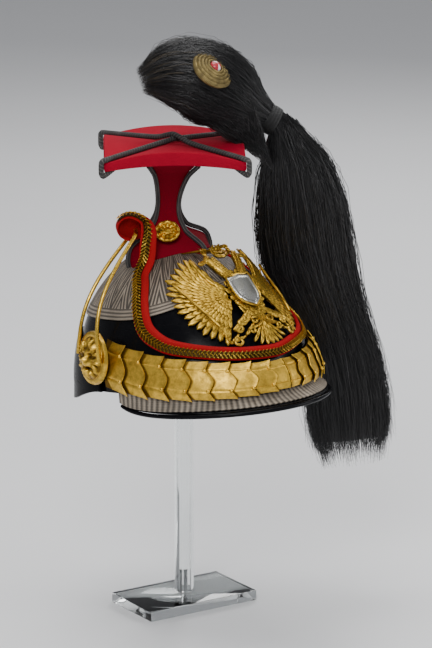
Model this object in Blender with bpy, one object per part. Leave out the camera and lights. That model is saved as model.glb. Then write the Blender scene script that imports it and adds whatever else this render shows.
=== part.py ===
"""Lancer cap with a horsehair plume, on a clear display stand.

+Z is up, -Y is the front of the cap and +X the wearer's left. The origin is the middle of the stand plate's
underside. Lengths are metres and turns are radians.
"""

import math

import bmesh
import bpy
from mathutils import Matrix, Vector

GAP = 0.0003
SEAT_GAP = 0.0006

PLATE_LENGTH = 0.106
PLATE_WIDTH = 0.063
PLATE_THICKNESS = 0.0088
STAND_TURN = math.radians(-9.8)
POST_SIDE = 0.012
STUD_RADIUS = 0.002
STUD_IN_POST = 0.020
STUD_IN_PLATE = 0.005
STAND_HEAD_RADIUS = 0.030
STAND_HEAD_DEPTH = 0.016

RIM_HALF_LENGTH = 0.105
RIM_HALF_WIDTH = 0.088
RIM_HEIGHT = 0.203
RIM_FORWARD = 0.0127
RIM_TILT = math.radians(8.0)
SKULL_HEIGHT = 0.110
SKULL_SHAPE = 1.8
SKULL_WALL = 0.002
CROWN_LEAN = 0.13
SKULL_COLUMNS = 36
SKULL_ROWS = 8

LACE_WALL = 0.0015
LACE_LOW = SKULL_HEIGHT * 0.5182
LACE_FRONT_RISE = 0.020
LACE_TOP = SKULL_HEIGHT - 0.010

GUARD_WALL = 0.0025
GUARD_START = math.radians(98.0)
GUARD_FULL = math.radians(138.0)
GUARD_TOP = 0.042
GUARD_SIDE_TOP = 0.010
GUARD_DROP = 0.0125
GUARD_FLARE = 0.0035

VISOR_WALL = 0.0025
VISOR_ROOT = 0.002
VISOR_REACH = 0.0195
VISOR_DROP = 0.0155
VISOR_FRONT_DROP = 0.0055
VISOR_CURL = 2.2
VISOR_END = math.radians(85.0)
VISOR_FADE = math.radians(88.0)
VISOR_LACE_WALL = 0.0008
VISOR_LACE_SHARE = 0.93
BINDING_RADIUS = 0.0018

STRAP_OUT = 0.0035
STRAP_WALL = 0.0013
STRAP_END = math.radians(90.5)
STRAP_FRONT_HEIGHT = 0.005
STRAP_SIDE_RISE = 0.021
STRAP_FRONT_WIDTH = 0.0205
STRAP_SIDE_WIDTH = 0.037
SCALES_PER_SIDE = 9
SCALE_WALL = 0.0010
SCALE_STEP = 0.0012
SCALE_LOBE = 0.0055
# Rows across a scale's three-lobed end: how far across the strap, and how much of the lobe's length it reaches.
SCALE_ROWS = (
    {"across": 0.00, "tip": 0.70},
    {"across": 0.18, "tip": 0.00},
    {"across": 0.32, "tip": 0.72},
    {"across": 0.50, "tip": 1.00},
    {"across": 0.68, "tip": 0.72},
    {"across": 0.82, "tip": 0.00},
    {"across": 1.00, "tip": 0.70},
)

BOSS_ANGLE = math.radians(95.0)
BOSS_HEIGHT = 0.0285
BOSS_TURN = math.radians(-8.0)
BOSS_RADIUS = 0.0222
BOSS_OUT = 0.0102
BOSS_SHANK = 0.004
BOSS_SIDES = 18

WAIST_WALL = 0.0022
WAIST_RISE = 0.0735
WAIST_SINK = 0.012
WAIST_REACH = 0.048
WAIST_BOW = 0.0045
WAIST_SIDE_COLUMNS = 4
# Rows of the waist: how far up it is, how far its corners reach, and how hollow its faces are.
WAIST_ROWS = (
    {"rise": -0.10, "reach": 0.80, "hollow": -0.17},
    {"rise": 0.02, "reach": 0.92, "hollow": -0.15},
    {"rise": 0.115, "reach": 0.90, "hollow": -0.10},
    {"rise": 0.173, "reach": 0.83, "hollow": 0.0},
    {"rise": 0.208, "reach": 0.70, "hollow": 0.04},
    {"rise": 0.261, "reach": 0.47, "hollow": 0.07},
    {"rise": 0.309, "reach": 0.37, "hollow": 0.07},
    {"rise": 0.419, "reach": 0.246, "hollow": 0.07},
    {"rise": 0.56, "reach": 0.21, "hollow": 0.07},
    {"rise": 0.723, "reach": 0.2625, "hollow": 0.07},
    {"rise": 0.863, "reach": 0.369, "hollow": 0.07},
    {"rise": 0.933, "reach": 0.479, "hollow": 0.05},
    {"rise": 1.03, "reach": 0.66, "hollow": 0.03},
)
WAIST_CORD_RADIUS = 0.0020

BOARD_REACH = 0.081
BOARD_TURN = math.radians(4.0)
BOARD_FORWARD = 0.005
BOARD_EDGE_LIFT = 0.005
BOARD_THICKNESS = 0.0133
BOARD_EDGE_RISE = 0.003
BOARD_DROOP = 0.009
BOARD_WALL = 0.002
BOARD_BULGE = 0.0008
BOARD_CELLS = 8
TOP_CORD_RADIUS = 0.0022

BUTTON_RADIUS = 0.0100
BUTTON_BACK = 0.0078
BUTTON_SHARE = 0.245

CHAIN_BACKING_WIDTH = 0.0150
CHAIN_BACKING_WALL = 0.0024
CHAIN_SHARE = 0.6
CHAIN_WALL = 0.0030
CHAIN_KNOB = 0.0007
CHAIN_LIFT = 0.0018
CURL_WIDE = 0.92
CHAIN_OUT = 0.0040
CHAIN_STEPS = 2
# The chain band's route on the skull, from the wearer's left round the front to the right: its turn, and its
# height as a share of the skull's.
CHAIN_ON_SKULL = (
    {"turn": 75, "height": 0.8364, "wide": 1.0},
    {"turn": 73, "height": 0.7091, "wide": 1.0},
    {"turn": 71, "height": 0.5636, "wide": 1.0},
    {"turn": 66, "height": 0.4545, "wide": 0.95},
    {"turn": 57, "height": 0.3682, "wide": 0.85},
    {"turn": 46, "height": 0.3136, "wide": 0.76},
    {"turn": 30, "height": 0.2636, "wide": 0.75},
    {"turn": 8, "height": 0.2255, "wide": 0.75},
    {"turn": -4, "height": 0.2182, "wide": 0.75},
    {"turn": -22, "height": 0.2382, "wide": 0.75},
    {"turn": -38, "height": 0.2727, "wide": 0.76},
    {"turn": -53, "height": 0.3182, "wide": 0.84},
    {"turn": -61, "height": 0.3682, "wide": 0.92},
    {"turn": -67, "height": 0.4364, "wide": 1.0},
    {"turn": -70, "height": 0.5182, "wide": 1.0},
    {"turn": -72, "height": 0.6182, "wide": 1.0},
    {"turn": -74, "height": 0.7273, "wide": 1.0},
    {"turn": -77, "height": 0.8000, "wide": 1.0},
)
# The free curl at its right end, from the curl's middle: along it, across it and up, and the way it faces there.
CURL_FROM_CROWN = (-0.0497, -0.01137, 0.02006)
CURL_ALONG = (0.731, -0.682, 0.0)
CURL_ACROSS = (-0.682, -0.731, 0.0)
CHAIN_CURL = (
    {"along": 0.0100, "across": 0.001, "up": -0.0240, "faces": (-0.15, 0.85, 0.5)},
    {"along": 0.0112, "across": 0.001, "up": -0.0115, "faces": (0.15, 0.95, 0.2)},
    {"along": 0.0118, "across": 0.000, "up": 0.0000, "faces": (0.45, 0.80, 0.4)},
    {"along": 0.0085, "across": -0.003, "up": 0.0075, "faces": (0.50, 0.35, 0.8)},
    {"along": -0.0015, "across": -0.007, "up": 0.0115, "faces": (0.0, 0.10, 1.0)},
    {"along": -0.0100, "across": -0.009, "up": 0.0085, "faces": (-0.60, 0.0, 0.8)},
    {"along": -0.0140, "across": -0.010, "up": 0.0015, "faces": (-1.0, 0.0, 0.0)},
    {"along": -0.0118, "across": -0.0105, "up": -0.0050, "faces": (-0.80, 0.0, -0.6)},
    {"along": -0.0065, "across": -0.0105, "up": -0.0085, "faces": (-0.35, 0.0, -0.9)},
    {"along": -0.0010, "across": -0.0105, "up": -0.0092, "faces": (0.0, 0.0, -1.0)},
)
HOOK_RADIUS = 0.0016
HOOK_SPREAD = 0.028
HOOK_FOOT_SPREAD = 0.037
HOOK_BOW = 0.018
HOOK_TOP = (0.001, -0.0112, -0.003)

EAGLE_WALL = 0.0018
EAGLE_OUT = 0.0030
EAGLE_LOW = 0.0325
EAGLE_RISE = 0.0625
EAGLE_LIFT = 0.008
EAGLE_TALL = 0.096
EAGLE_BODY_RELIEF = 0.0022
EAGLE_FEATHERS = 9
SHIELD_WALL = 0.0018
SHIELD_WIDTH = 0.025
SHIELD_TALL = 0.031
SHIELD_MIDDLE = 0.0545
# Half of the eagle's outline without its feathers, as shares of its height: out from the middle line, and up.
EAGLE_TOP = (
    {"out": 0.000, "up": 1.03},
    {"out": 0.060, "up": 1.02},
    {"out": 0.095, "up": 0.98},
    {"out": 0.085, "up": 0.93},
    {"out": 0.150, "up": 0.925},
    {"out": 0.190, "up": 0.97},
    {"out": 0.265, "up": 0.95},
    {"out": 0.275, "up": 0.90},
    {"out": 0.345, "up": 0.895},
    {"out": 0.300, "up": 0.84},
    {"out": 0.400, "up": 0.87},
)
EAGLE_FOOT = (
    {"out": 0.410, "up": 0.14},
    {"out": 0.390, "up": 0.05},
    {"out": 0.335, "up": 0.12},
    {"out": 0.300, "up": 0.08},
    {"out": 0.280, "up": 0.01},
    {"out": 0.200, "up": 0.00},
    {"out": 0.150, "up": 0.03},
    {"out": 0.080, "up": 0.00},
    {"out": 0.000, "up": 0.00},
)
EAGLE_ROOT_OUT = 0.19
EAGLE_ROOT_UP = 0.54
EAGLE_REACH = 0.535
EAGLE_FAN_START = math.radians(53.0)
EAGLE_FAN_TURN = math.radians(109.0)
EAGLE_HOLES = (
    {"out": 0.200, "up": 0.735, "wide": 0.040, "tall": 0.052},
    {"out": 0.355, "up": 0.235, "wide": 0.028, "tall": 0.050},
    {"out": 0.205, "up": 0.230, "wide": 0.028, "tall": 0.048},
    {"out": 0.080, "up": 0.225, "wide": 0.022, "tall": 0.050},
    {"out": 0.240, "up": 0.090, "wide": 0.028, "tall": 0.030},
    {"out": 0.100, "up": 0.085, "wide": 0.022, "tall": 0.036},
)

PLUME_COLUMNS = 20
PLUME_LOCKS = 10
PLUME_GROOVE = 0.07
# The plume's head: out from the board's side, up from its underside, and half its height and depth there.
PLUME_SIZE = 0.066
PLUME_HEAD_ROWS = (
    {"out": -0.0795, "up": 0.0655, "tall": 0.14, "deep": 0.14},
    {"out": -0.0745, "up": 0.0670, "tall": 0.25, "deep": 0.23},
    {"out": -0.0613, "up": 0.0695, "tall": 0.37, "deep": 0.33},
    {"out": -0.0443, "up": 0.0690, "tall": 0.44, "deep": 0.39},
    {"out": -0.0273, "up": 0.0620, "tall": 0.47, "deep": 0.41},
    {"out": -0.0113, "up": 0.0530, "tall": 0.42, "deep": 0.37},
    {"out": 0.0027, "up": 0.0430, "tall": 0.31, "deep": 0.29},
    {"out": 0.0127, "up": 0.0370, "tall": 0.21, "deep": 0.19},
    {"out": 0.0182, "up": 0.0342, "tall": 0.15, "deep": 0.15},
    {"out": 0.0247, "up": 0.0306, "tall": 0.15, "deep": 0.15},
)
PLUME_TAIL_ROWS = (
    {"out": 0.0253, "side": 0.000, "up": 0.0302, "wide": 0.15, "deep": 0.15},
    {"out": 0.0312, "side": 0.000, "up": 0.0268, "wide": 0.15, "deep": 0.15},
    {"out": 0.0362, "side": -0.002, "up": 0.0185, "wide": 0.22, "deep": 0.20},
    {"out": 0.0412, "side": -0.006, "up": 0.000, "wide": 0.37, "deep": 0.23},
    {"out": 0.0482, "side": -0.012, "up": -0.036, "wide": 0.50, "deep": 0.26},
    {"out": 0.0537, "side": -0.020, "up": -0.080, "wide": 0.54, "deep": 0.27},
    {"out": 0.0627, "side": -0.028, "up": -0.113, "wide": 0.50, "deep": 0.26},
    {"out": 0.0727, "side": -0.034, "up": -0.139, "wide": 0.44, "deep": 0.25},
    {"out": 0.0857, "side": -0.036, "up": -0.185, "wide": 0.48, "deep": 0.24},
    {"out": 0.0907, "side": -0.035, "up": -0.218, "wide": 0.50, "deep": 0.24},
    {"out": 0.0937, "side": -0.034, "up": -0.250, "wide": 0.50, "deep": 0.20},
    {"out": 0.0957, "side": -0.034, "up": -0.265, "wide": 0.40, "deep": 0.11},
)
TIE_WALL = 0.0016
TIE_LENGTH = 0.010
BRACKET_RADIUS = 0.0022
BRACKET_OUT = 0.006
BRACKET_RISE = 0.024
COCKADE_RADIUS = 0.0182
COCKADE_DEPTH = 0.0085
COCKADE_CENTRE_RADIUS = 0.0048
COCKADE_OUT = -0.0275
COCKADE_UP = 0.0755
COCKADE_SIDE = 0.0235
COCKADE_FACES = (0.50, 0.46, 0.73)

UP = Vector((0, 0, 1))


def clear_scene():
    for old in list(bpy.data.objects):
        bpy.data.objects.remove(old, do_unlink=True)


def make_material(name, colour, roughness, metallic, alpha=1.0):
    made = bpy.data.materials.new(name)
    made.use_nodes = True
    shader = made.node_tree.nodes["Principled BSDF"]
    shader.inputs["Base Color"].default_value = (*colour, 1.0)
    shader.inputs["Roughness"].default_value = roughness
    shader.inputs["Metallic"].default_value = metallic
    shader.inputs["Alpha"].default_value = alpha
    return made


def finish(mesh_maker, name, material):
    """Turns a bmesh into a named, smooth-shaded object with its material."""
    mesh = bpy.data.meshes.new(name)
    mesh_maker.to_mesh(mesh)
    mesh_maker.free()
    mesh.shade_smooth()
    mesh.set_sharp_from_angle(angle=math.radians(35))
    mesh.materials.append(material)
    made = bpy.data.objects.new(name, mesh)
    bpy.context.scene.collection.objects.link(made)
    return made


def as_guide(helper):
    """A cutter, or a shape that another one takes in."""
    helper.hide_render = True
    helper.display_type = "WIRE"
    return helper


def combine(target, helper, operation):
    step = target.modifiers.new(operation.title(), "BOOLEAN")
    step.operation = operation
    step.solver = "EXACT"
    step.object = as_guide(helper)
    return target


def baked(target):
    """The object with its modifiers applied, or a curve turned into a mesh."""
    graph = bpy.context.evaluated_depsgraph_get()
    graph.update()
    mesh = bpy.data.meshes.new_from_object(target.evaluated_get(graph))
    made = bpy.data.objects.new(target.name + "_shape", mesh)
    name, place = target.name, target.matrix_world.copy()
    bpy.data.objects.remove(target, do_unlink=True)
    made.name = name
    made.matrix_world = place
    bpy.context.scene.collection.objects.link(made)
    return made


def spread(first, last, count):
    return [first + (last - first) * step / (count - 1) for step in range(count)]


def ease(value):
    value = min(max(value, 0.0), 1.0)
    return value * value * (3 - 2 * value)


def skull_turns(first, last):
    """Turns from first to last that fall on the skull's own columns."""
    step = math.tau / SKULL_COLUMNS
    inside = range(math.floor(first / step) + 1, math.ceil(last / step))
    return [first] + [step * column for column in inside] + [last]


def grid_faces(maker, rows, wrap):
    """Quads between rows of vertices that run upwards, with columns towards the wearer's left."""
    count = len(rows[0])
    for low, high in zip(rows, rows[1:]):
        for column in range(count if wrap else count - 1):
            after = (column + 1) % count
            maker.faces.new((low[column], low[after], high[after], high[column]))


def shell(name, points, wall, material, wrap=False, pole=None, inward=False):
    """A surface through rows of points, given a wall on its outside or, if inward, on its inside."""
    maker = bmesh.new()
    rows = [[maker.verts.new(point) for point in row] for row in points]
    grid_faces(maker, rows, wrap)
    if pole:
        tip = maker.verts.new(pole)
        last = rows[-1]
        for column, corner in enumerate(last):
            maker.faces.new((corner, last[(column + 1) % len(last)], tip))
    made = finish(maker, name, material)
    thicken = made.modifiers.new("Wall", "SOLIDIFY")
    thicken.thickness = wall
    thicken.offset = -1.0 if inward else 1.0
    thicken.use_even_offset = True
    return made


def slab(name, outer, inner, material):
    """A closed plate between an outer and an inner grid of points of one size."""
    maker = bmesh.new()
    front = [[maker.verts.new(point) for point in row] for row in outer]
    back = [[maker.verts.new(point) for point in row] for row in inner]
    grid_faces(maker, front, False)
    grid_faces(maker, [row[::-1] for row in back], False)
    for a, b in ((front[0], back[0]), (back[-1], front[-1])):
        for column in range(len(a) - 1):
            maker.faces.new((b[column], b[column + 1], a[column + 1], a[column]))
    for low in range(len(front) - 1):
        maker.faces.new((back[low][0], front[low][0], front[low + 1][0], back[low + 1][0]))
        maker.faces.new((front[low][-1], back[low][-1], back[low + 1][-1], front[low + 1][-1]))
    return finish(maker, name, material)


def loft(name, sections, material):
    """A closed body through rings of points, with flat ends."""
    maker = bmesh.new()
    rings = [[maker.verts.new(point) for point in ring] for ring in sections]
    grid_faces(maker, rings, True)
    maker.faces.new(rings[0][::-1])
    maker.faces.new(rings[-1])
    bmesh.ops.recalc_face_normals(maker, faces=maker.faces)
    return finish(maker, name, material)


def turned(name, profile, sides, material):
    """A turned body. The profile's (radius, height) points run from the axis at the bottom to the axis at the top."""
    maker = bmesh.new()
    edge = [maker.verts.new((radius, 0, height)) for radius, height in profile]
    edges = [maker.edges.new(pair) for pair in zip(edge, edge[1:])]
    bmesh.ops.spin(
        maker, geom=edge + edges, axis=UP, cent=(0, 0, 0), angle=math.tau, steps=sides, use_merge=True
    )
    bmesh.ops.remove_doubles(maker, verts=maker.verts, dist=1e-6)
    bmesh.ops.recalc_face_normals(maker, faces=maker.faces)
    return finish(maker, name, material)


def cord(name, points, radius, material, rounding=1):
    """A round rod or cord through points, with flat ends."""
    curve = bpy.data.curves.new(name, "CURVE")
    curve.dimensions = "3D"
    curve.bevel_depth = radius
    curve.bevel_resolution = rounding
    curve.use_fill_caps = True
    line = curve.splines.new("POLY")
    line.points.add(len(points) - 1)
    for slot, point in zip(line.points, points):
        slot.co = (*point, 1.0)
    curve.materials.append(material)
    made = bpy.data.objects.new(name, curve)
    bpy.context.scene.collection.objects.link(made)
    return made


def block(name, size, middle, material, turn=0.0):
    maker = bmesh.new()
    bmesh.ops.create_cube(maker, size=1.0)
    bmesh.ops.scale(maker, vec=size, verts=maker.verts)
    bmesh.ops.rotate(maker, cent=(0, 0, 0), matrix=Matrix.Rotation(turn, 3, "Z"), verts=maker.verts)
    bmesh.ops.translate(maker, vec=middle, verts=maker.verts)
    return finish(maker, name, material)


def peg(name, radius, low, high, sides, material):
    maker = bmesh.new()
    bmesh.ops.create_cone(
        maker, cap_ends=True, segments=sides, radius1=radius, radius2=radius, depth=high - low
    )
    bmesh.ops.translate(maker, vec=(0, 0, (low + high) / 2), verts=maker.verts)
    return finish(maker, name, material)


def stand_up(made, middle, facing):
    """Puts a turned piece's base at a point, with its axis along a direction."""
    turn = Vector(facing).normalized().to_track_quat("Z", "Y")
    made.matrix_world = Matrix.Translation(middle) @ turn.to_matrix().to_4x4()
    return made


def smooth(points, steps):
    """Points along a smooth curve through the given vectors."""
    found = []
    last = len(points) - 1
    for index in range(last):
        before = points[max(index - 1, 0)]
        here = points[index]
        there = points[index + 1]
        beyond = points[min(index + 2, last)]
        for step in range(steps):
            share = step / steps
            bend = (there - before) * 0.5
            next_bend = (beyond - here) * 0.5
            found.append(
                here * (2 * share**3 - 3 * share**2 + 1)
                + bend * (share**3 - 2 * share**2 + share)
                + there * (3 * share**2 - 2 * share**3)
                + next_bend * (share**3 - share**2)
            )
    found.append(points[-1])
    return found


def cap_axes():
    """The cap's own up and forward directions."""
    up = Vector((0, math.sin(RIM_TILT), math.cos(RIM_TILT)))
    forward = Vector((0, -math.cos(RIM_TILT), math.sin(RIM_TILT)))
    return up, forward


def skull_share(height):
    """What is left of the rim's size at a height above the rim."""
    rise = min(max(height / SKULL_HEIGHT, 0.0), 1.0)
    return (1 - rise**SKULL_SHAPE) ** (1 / SKULL_SHAPE)


def skull_middle(height):
    up, forward = cap_axes()
    rim = Vector((0, -RIM_FORWARD, RIM_HEIGHT))
    return rim + up * height - forward * CROWN_LEAN * max(height, 0.0)


def on_face(angle, height):
    forward = cap_axes()[1]
    share = skull_share(height)
    side = Vector((math.sin(angle) * RIM_HALF_WIDTH * share, 0, 0))
    return skull_middle(height) + side + forward * math.cos(angle) * RIM_HALF_LENGTH * share


def skull_normal(angle, height):
    turn = math.radians(1)
    lift = SKULL_HEIGHT * 0.004
    level = min(max(height, 0.0), SKULL_HEIGHT - 3 * lift)
    round_it = on_face(angle + turn, level) - on_face(angle - turn, level)
    up_it = on_face(angle, level + lift) - on_face(angle, max(level - lift, 0.0))
    return round_it.cross(up_it).normalized()


def on_skull(angle, height, out=0.0):
    """A point by the skull: turned from the front to the wearer's left, up from the rim, and out from its face."""
    return on_face(angle, height) + skull_normal(angle, height) * out


def crown():
    return skull_middle(SKULL_HEIGHT)


def outside_skull(point, clearance):
    """Whether a point is outside the skull by a distance."""
    up, forward = cap_axes()
    rise = (point - skull_middle(0.0)).dot(up)
    off = point - skull_middle(rise)
    level = max(rise, 0.0) / (SKULL_HEIGHT + clearance)
    along = off.dot(forward) / (RIM_HALF_LENGTH + clearance)
    across = off.x / (RIM_HALF_WIDTH + clearance)
    round_share = math.hypot(along, across)
    return round_share**SKULL_SHAPE + level**SKULL_SHAPE > 1.0


def skull_rows(out, first, last, rows):
    """Rings of the skull's face, evenly spaced along its curve."""
    found = []
    for climb in spread(first, last, rows):
        height = SKULL_HEIGHT * math.sin(climb) ** (2 / SKULL_SHAPE)
        found.append([on_skull(math.tau * c / SKULL_COLUMNS, height, out) for c in range(SKULL_COLUMNS)])
    return found


def dome_block(name, out, material):
    """The skull's form as one solid, for cutting."""
    rows = [[on_skull(math.tau * c / SKULL_COLUMNS, -0.02, out) for c in range(SKULL_COLUMNS)]]
    rows += skull_rows(out, 0.0, math.radians(84), SKULL_ROWS + 3)
    return loft(name, rows, material)


def make_skull(leather):
    rows = skull_rows(0.0, 0.0, math.radians(80), SKULL_ROWS)
    return shell("skull", rows, SKULL_WALL, leather, wrap=True, pole=crown(), inward=True)


def make_lace_band(lace):
    rows = []
    turns = [math.tau * c / SKULL_COLUMNS for c in range(SKULL_COLUMNS)]
    for share in spread(0.0, 1.0, 5):
        row = []
        for turn in turns:
            low = LACE_LOW + LACE_FRONT_RISE * max(math.cos(turn), 0.0) ** 2
            row.append(on_skull(turn, low + (LACE_TOP - low) * share, SEAT_GAP))
        rows.append(row)
    return shell("lace_band", rows, LACE_WALL, lace, wrap=True)


def make_neck_guard(leather):
    rows = []
    for share in spread(0.0, 1.0, 5):
        row = []
        for turn in skull_turns(GUARD_START, math.tau - GUARD_START):
            full = ease((math.pi - abs(turn - math.pi) - GUARD_START) / (GUARD_FULL - GUARD_START))
            low = -GUARD_DROP * full
            high = GUARD_SIDE_TOP + (GUARD_TOP - GUARD_SIDE_TOP) * full
            flare = GUARD_FLARE * full * (1 - share) ** 2
            row.append(on_skull(turn, low + (high - low) * share, SEAT_GAP + flare))
        rows.append(row)
    return shell("neck_guard", rows, GUARD_WALL, leather)


def visor_drop(turn):
    fade = math.sqrt(max(1 - (abs(turn) / VISOR_FADE) ** 8, 0.0))
    return VISOR_ROOT + VISOR_DROP * fade + VISOR_FRONT_DROP * math.cos(turn) ** 2


def visor_reach(turn):
    return VISOR_REACH * math.cos(turn) ** 2


def on_visor(turn, share, above=0.0):
    """A point on the visor's underside, or above it, from its root to its edge."""

    def base(at_turn, at_share):
        out = SEAT_GAP + visor_reach(at_turn) * at_share**VISOR_CURL
        return on_skull(at_turn, VISOR_ROOT - visor_drop(at_turn) * at_share, out)

    step = 0.01
    across = base(turn + step, share) - base(turn - step, share)
    down = base(turn, min(share + step, 1.0)) - base(turn, max(share - step, 0.0))
    return base(turn, share) - across.cross(down).normalized() * above


def visor_face(turn, height):
    """How far out the laced visor stands at a height above the rim."""
    drop = visor_drop(turn)
    share = min(max((VISOR_ROOT - height) / drop, 0.0), 1.0)
    slope = visor_reach(turn) * VISOR_CURL * share ** (VISOR_CURL - 1) / drop
    thick = (VISOR_WALL + SEAT_GAP + VISOR_LACE_WALL) * math.hypot(1.0, slope)
    return SEAT_GAP + visor_reach(turn) * share**VISOR_CURL + thick


def make_visor(leather, lace):
    turns = skull_turns(-VISOR_END, VISOR_END)
    rows = [[on_visor(turn, share) for turn in turns] for share in spread(1.0, 0.0, 6)]
    shell("visor", rows, VISOR_WALL, leather)
    above = VISOR_WALL + SEAT_GAP
    laced = [[on_visor(turn, share, above) for turn in turns] for share in spread(VISOR_LACE_SHARE, 0.05, 6)]
    shell("visor_lace", laced, VISOR_LACE_WALL, lace)
    middle = []
    for turn in turns:
        edge = on_visor(turn, 1.0, VISOR_WALL / 2)
        outward = (edge - on_visor(turn, 0.96, VISOR_WALL / 2)).normalized()
        middle.append(edge + outward * (BINDING_RADIUS + SEAT_GAP))
    cord("visor_binding", middle, BINDING_RADIUS, leather)


def strap_edges(turn):
    """The strap's lower and upper edge, as heights above the rim."""
    side = abs(turn) / BOSS_ANGLE
    middle = STRAP_FRONT_HEIGHT + STRAP_SIDE_RISE * side**2.2
    half = (STRAP_FRONT_WIDTH + (STRAP_SIDE_WIDTH - STRAP_FRONT_WIDTH) * side) / 2
    return middle - half, middle + half


def on_strap(turn, share, out):
    """A point by the strap, which leans out at its lower edge to clear the visor."""
    low, high = strap_edges(turn)
    low_out = max(STRAP_OUT, visor_face(turn, low) + SEAT_GAP)
    return on_skull(turn, low + (high - low) * share, low_out + (STRAP_OUT - low_out) * share + out)


def make_strap(leather):
    turns = skull_turns(-STRAP_END, STRAP_END)
    rows = [[on_strap(turn, share, 0.0) for turn in turns] for share in spread(0.0, 1.0, 4)]
    shell("strap", rows, STRAP_WALL, leather)


def make_scales(name, side, brass):
    """One side's overlapping scales, from the boss to the middle of the front."""
    middle = math.radians(1.2)
    base = STRAP_WALL + SEAT_GAP
    pitch = (STRAP_END - middle) / SCALES_PER_SIDE
    columns = []
    for index in range(SCALES_PER_SIDE):
        root = STRAP_END - pitch * index
        columns.append((root - math.radians(0.25) * (index > 0), index > 0, 0.0))
        columns.append((root - pitch, index < SCALES_PER_SIDE - 1, SCALE_STEP))
    outer = []
    inner = []
    for row in SCALE_ROWS:
        front = []
        back = []
        for turn, lobed, raised in columns:
            at = side * (turn - lobed * row["tip"] * SCALE_LOBE / RIM_HALF_LENGTH)
            front.append(on_strap(at, row["across"], base + SCALE_WALL + raised))
            back.append(on_strap(at, row["across"], base))
        outer.append(front if side < 0 else front[::-1])
        inner.append(back if side < 0 else back[::-1])
    return slab(name, outer, inner, brass)


def boss_profile():
    """Heights of the boss's face by radius, from its rim to its middle."""
    rise = BOSS_RADIUS
    return ((1.0, 0.04), (0.97, 0.14), (0.88, 0.17), (0.80, 0.15), (0.62, 0.30), (0.36, 0.42), (0.0, 0.45)), rise


def boss_face(share):
    rows, rise = boss_profile()
    for (outer, low), (inner, high) in zip(rows, rows[1:]):
        if inner <= share <= outer:
            return rise * (high + (low - high) * (share - inner) / (outer - inner))
    return 0.0


def boss_seat(side):
    turn = side * BOSS_ANGLE
    facing = skull_normal(turn, BOSS_HEIGHT)
    facing = (facing - cap_axes()[0] * facing.dot(cap_axes()[0]) * 0.7).normalized()
    return on_skull(turn, BOSS_HEIGHT), Matrix.Rotation(side * -BOSS_TURN, 3, "Z") @ facing


def make_boss(name, side, brass):
    """A round boss on a shank that stands on the skull."""
    rows, rise = boss_profile()
    seat, facing = boss_seat(side)
    foot = SEAT_GAP + GAP - BOSS_OUT
    profile = [(0.0, foot), (BOSS_SHANK, foot), (BOSS_SHANK, 0.0), (BOSS_RADIUS, 0.0)]
    profile += [(BOSS_RADIUS * share, rise * height) for share, height in rows]
    made = turned(name, profile, BOSS_SIDES, brass)
    return stand_up(made, seat + facing * BOSS_OUT, facing)


def waist_middle(rise):
    """The middle of the waist at a share of its height."""
    top = board_under()
    low = crown() - UP * WAIST_SINK
    return low + (top - low) * rise + Vector((0, WAIST_BOW * math.sin(math.pi * rise), 0))


def board_under():
    """The middle of the top board's underside."""
    return crown() + Vector((0, -BOARD_FORWARD, WAIST_RISE))


def waist_row(rise):
    """The corner's reach and the faces' hollow at a share of the waist's height."""
    for low, high in zip(WAIST_ROWS, WAIST_ROWS[1:]):
        if rise <= high["rise"]:
            break
    share = (rise - low["rise"]) / (high["rise"] - low["rise"])
    return [low[key] + (high[key] - low[key]) * share for key in ("reach", "hollow")]


def waist_point(rise, corner):
    """A point on the waist's outside. Corner 0 is the front one, 1 the wearer's left one."""
    turn = corner * math.pi / 2
    off = abs(math.remainder(turn, math.pi / 2))
    reach, hollow = waist_row(rise)
    reach *= WAIST_REACH * (1 - hollow * math.sin(2 * off) ** 2) / (math.cos(off) + math.sin(off))
    heading = turn - math.pi / 2 + BOARD_TURN * rise
    return waist_middle(rise) + Vector((math.cos(heading), math.sin(heading), 0)) * reach


def make_waist(cloth):
    columns = 4 * WAIST_SIDE_COLUMNS
    rows = [[waist_point(row["rise"], c / WAIST_SIDE_COLUMNS) for c in range(columns)] for row in WAIST_ROWS]
    made = shell("waist", rows, WAIST_WALL, cloth, wrap=True, inward=True)
    seat = dome_block("waist_seat_cutter", SEAT_GAP + LACE_WALL + GAP, cloth)
    combine(made, seat, "DIFFERENCE")
    above = BOARD_REACH / 2
    middle = board_under() + UP * (above / 2 - GAP)
    lid = block("waist_top_cutter", (BOARD_REACH, BOARD_REACH, above), middle, cloth)
    return combine(made, lid, "DIFFERENCE")


def make_waist_cords(braid):
    clear = SEAT_GAP + LACE_WALL + WAIST_CORD_RADIUS + GAP
    for index, name in enumerate(("front", "left", "back", "right")):
        outward = (waist_point(0.5, index) - waist_middle(0.5)).normalized()
        points = []
        for row in WAIST_ROWS[::-1]:
            rise = min(row["rise"], 0.955)
            along = (waist_point(rise + 0.03, index) - waist_point(rise - 0.03, index)).normalized()
            square = (outward - along * outward.dot(along)).normalized()
            point = waist_point(rise, index) + square * (WAIST_CORD_RADIUS + SEAT_GAP)
            if outside_skull(point, clear):
                points.append(point)
        cord("waist_cord_" + name, points, WAIST_CORD_RADIUS, braid)


def board_axes():
    """The board's two edge directions, to the wearer's front left and back left."""
    turn = BOARD_TURN - math.pi / 4
    return Vector((math.cos(turn), math.sin(turn), 0)), Vector((-math.sin(turn), math.cos(turn), 0))


def on_board(across, along, height, beyond=0.0):
    """A point by the board, from shares of its half side and a height above its underside."""
    one, two = board_axes()
    half = BOARD_REACH / math.sqrt(2) + beyond
    return board_under() + one * across * half + two * along * half + UP * height


def board_low(across, along):
    spread_out = max(abs(across), abs(along))
    lift = ease((spread_out - 0.5) / 0.5)
    return BOARD_EDGE_LIFT * lift * (1 - (across * along) ** 2)


def board_high(across, along):
    most, least = max(abs(across), abs(along)), min(abs(across), abs(along))
    fold = least * least / most if most else 0.0
    return BOARD_THICKNESS + BOARD_EDGE_RISE * most - BOARD_DROOP * fold


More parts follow.
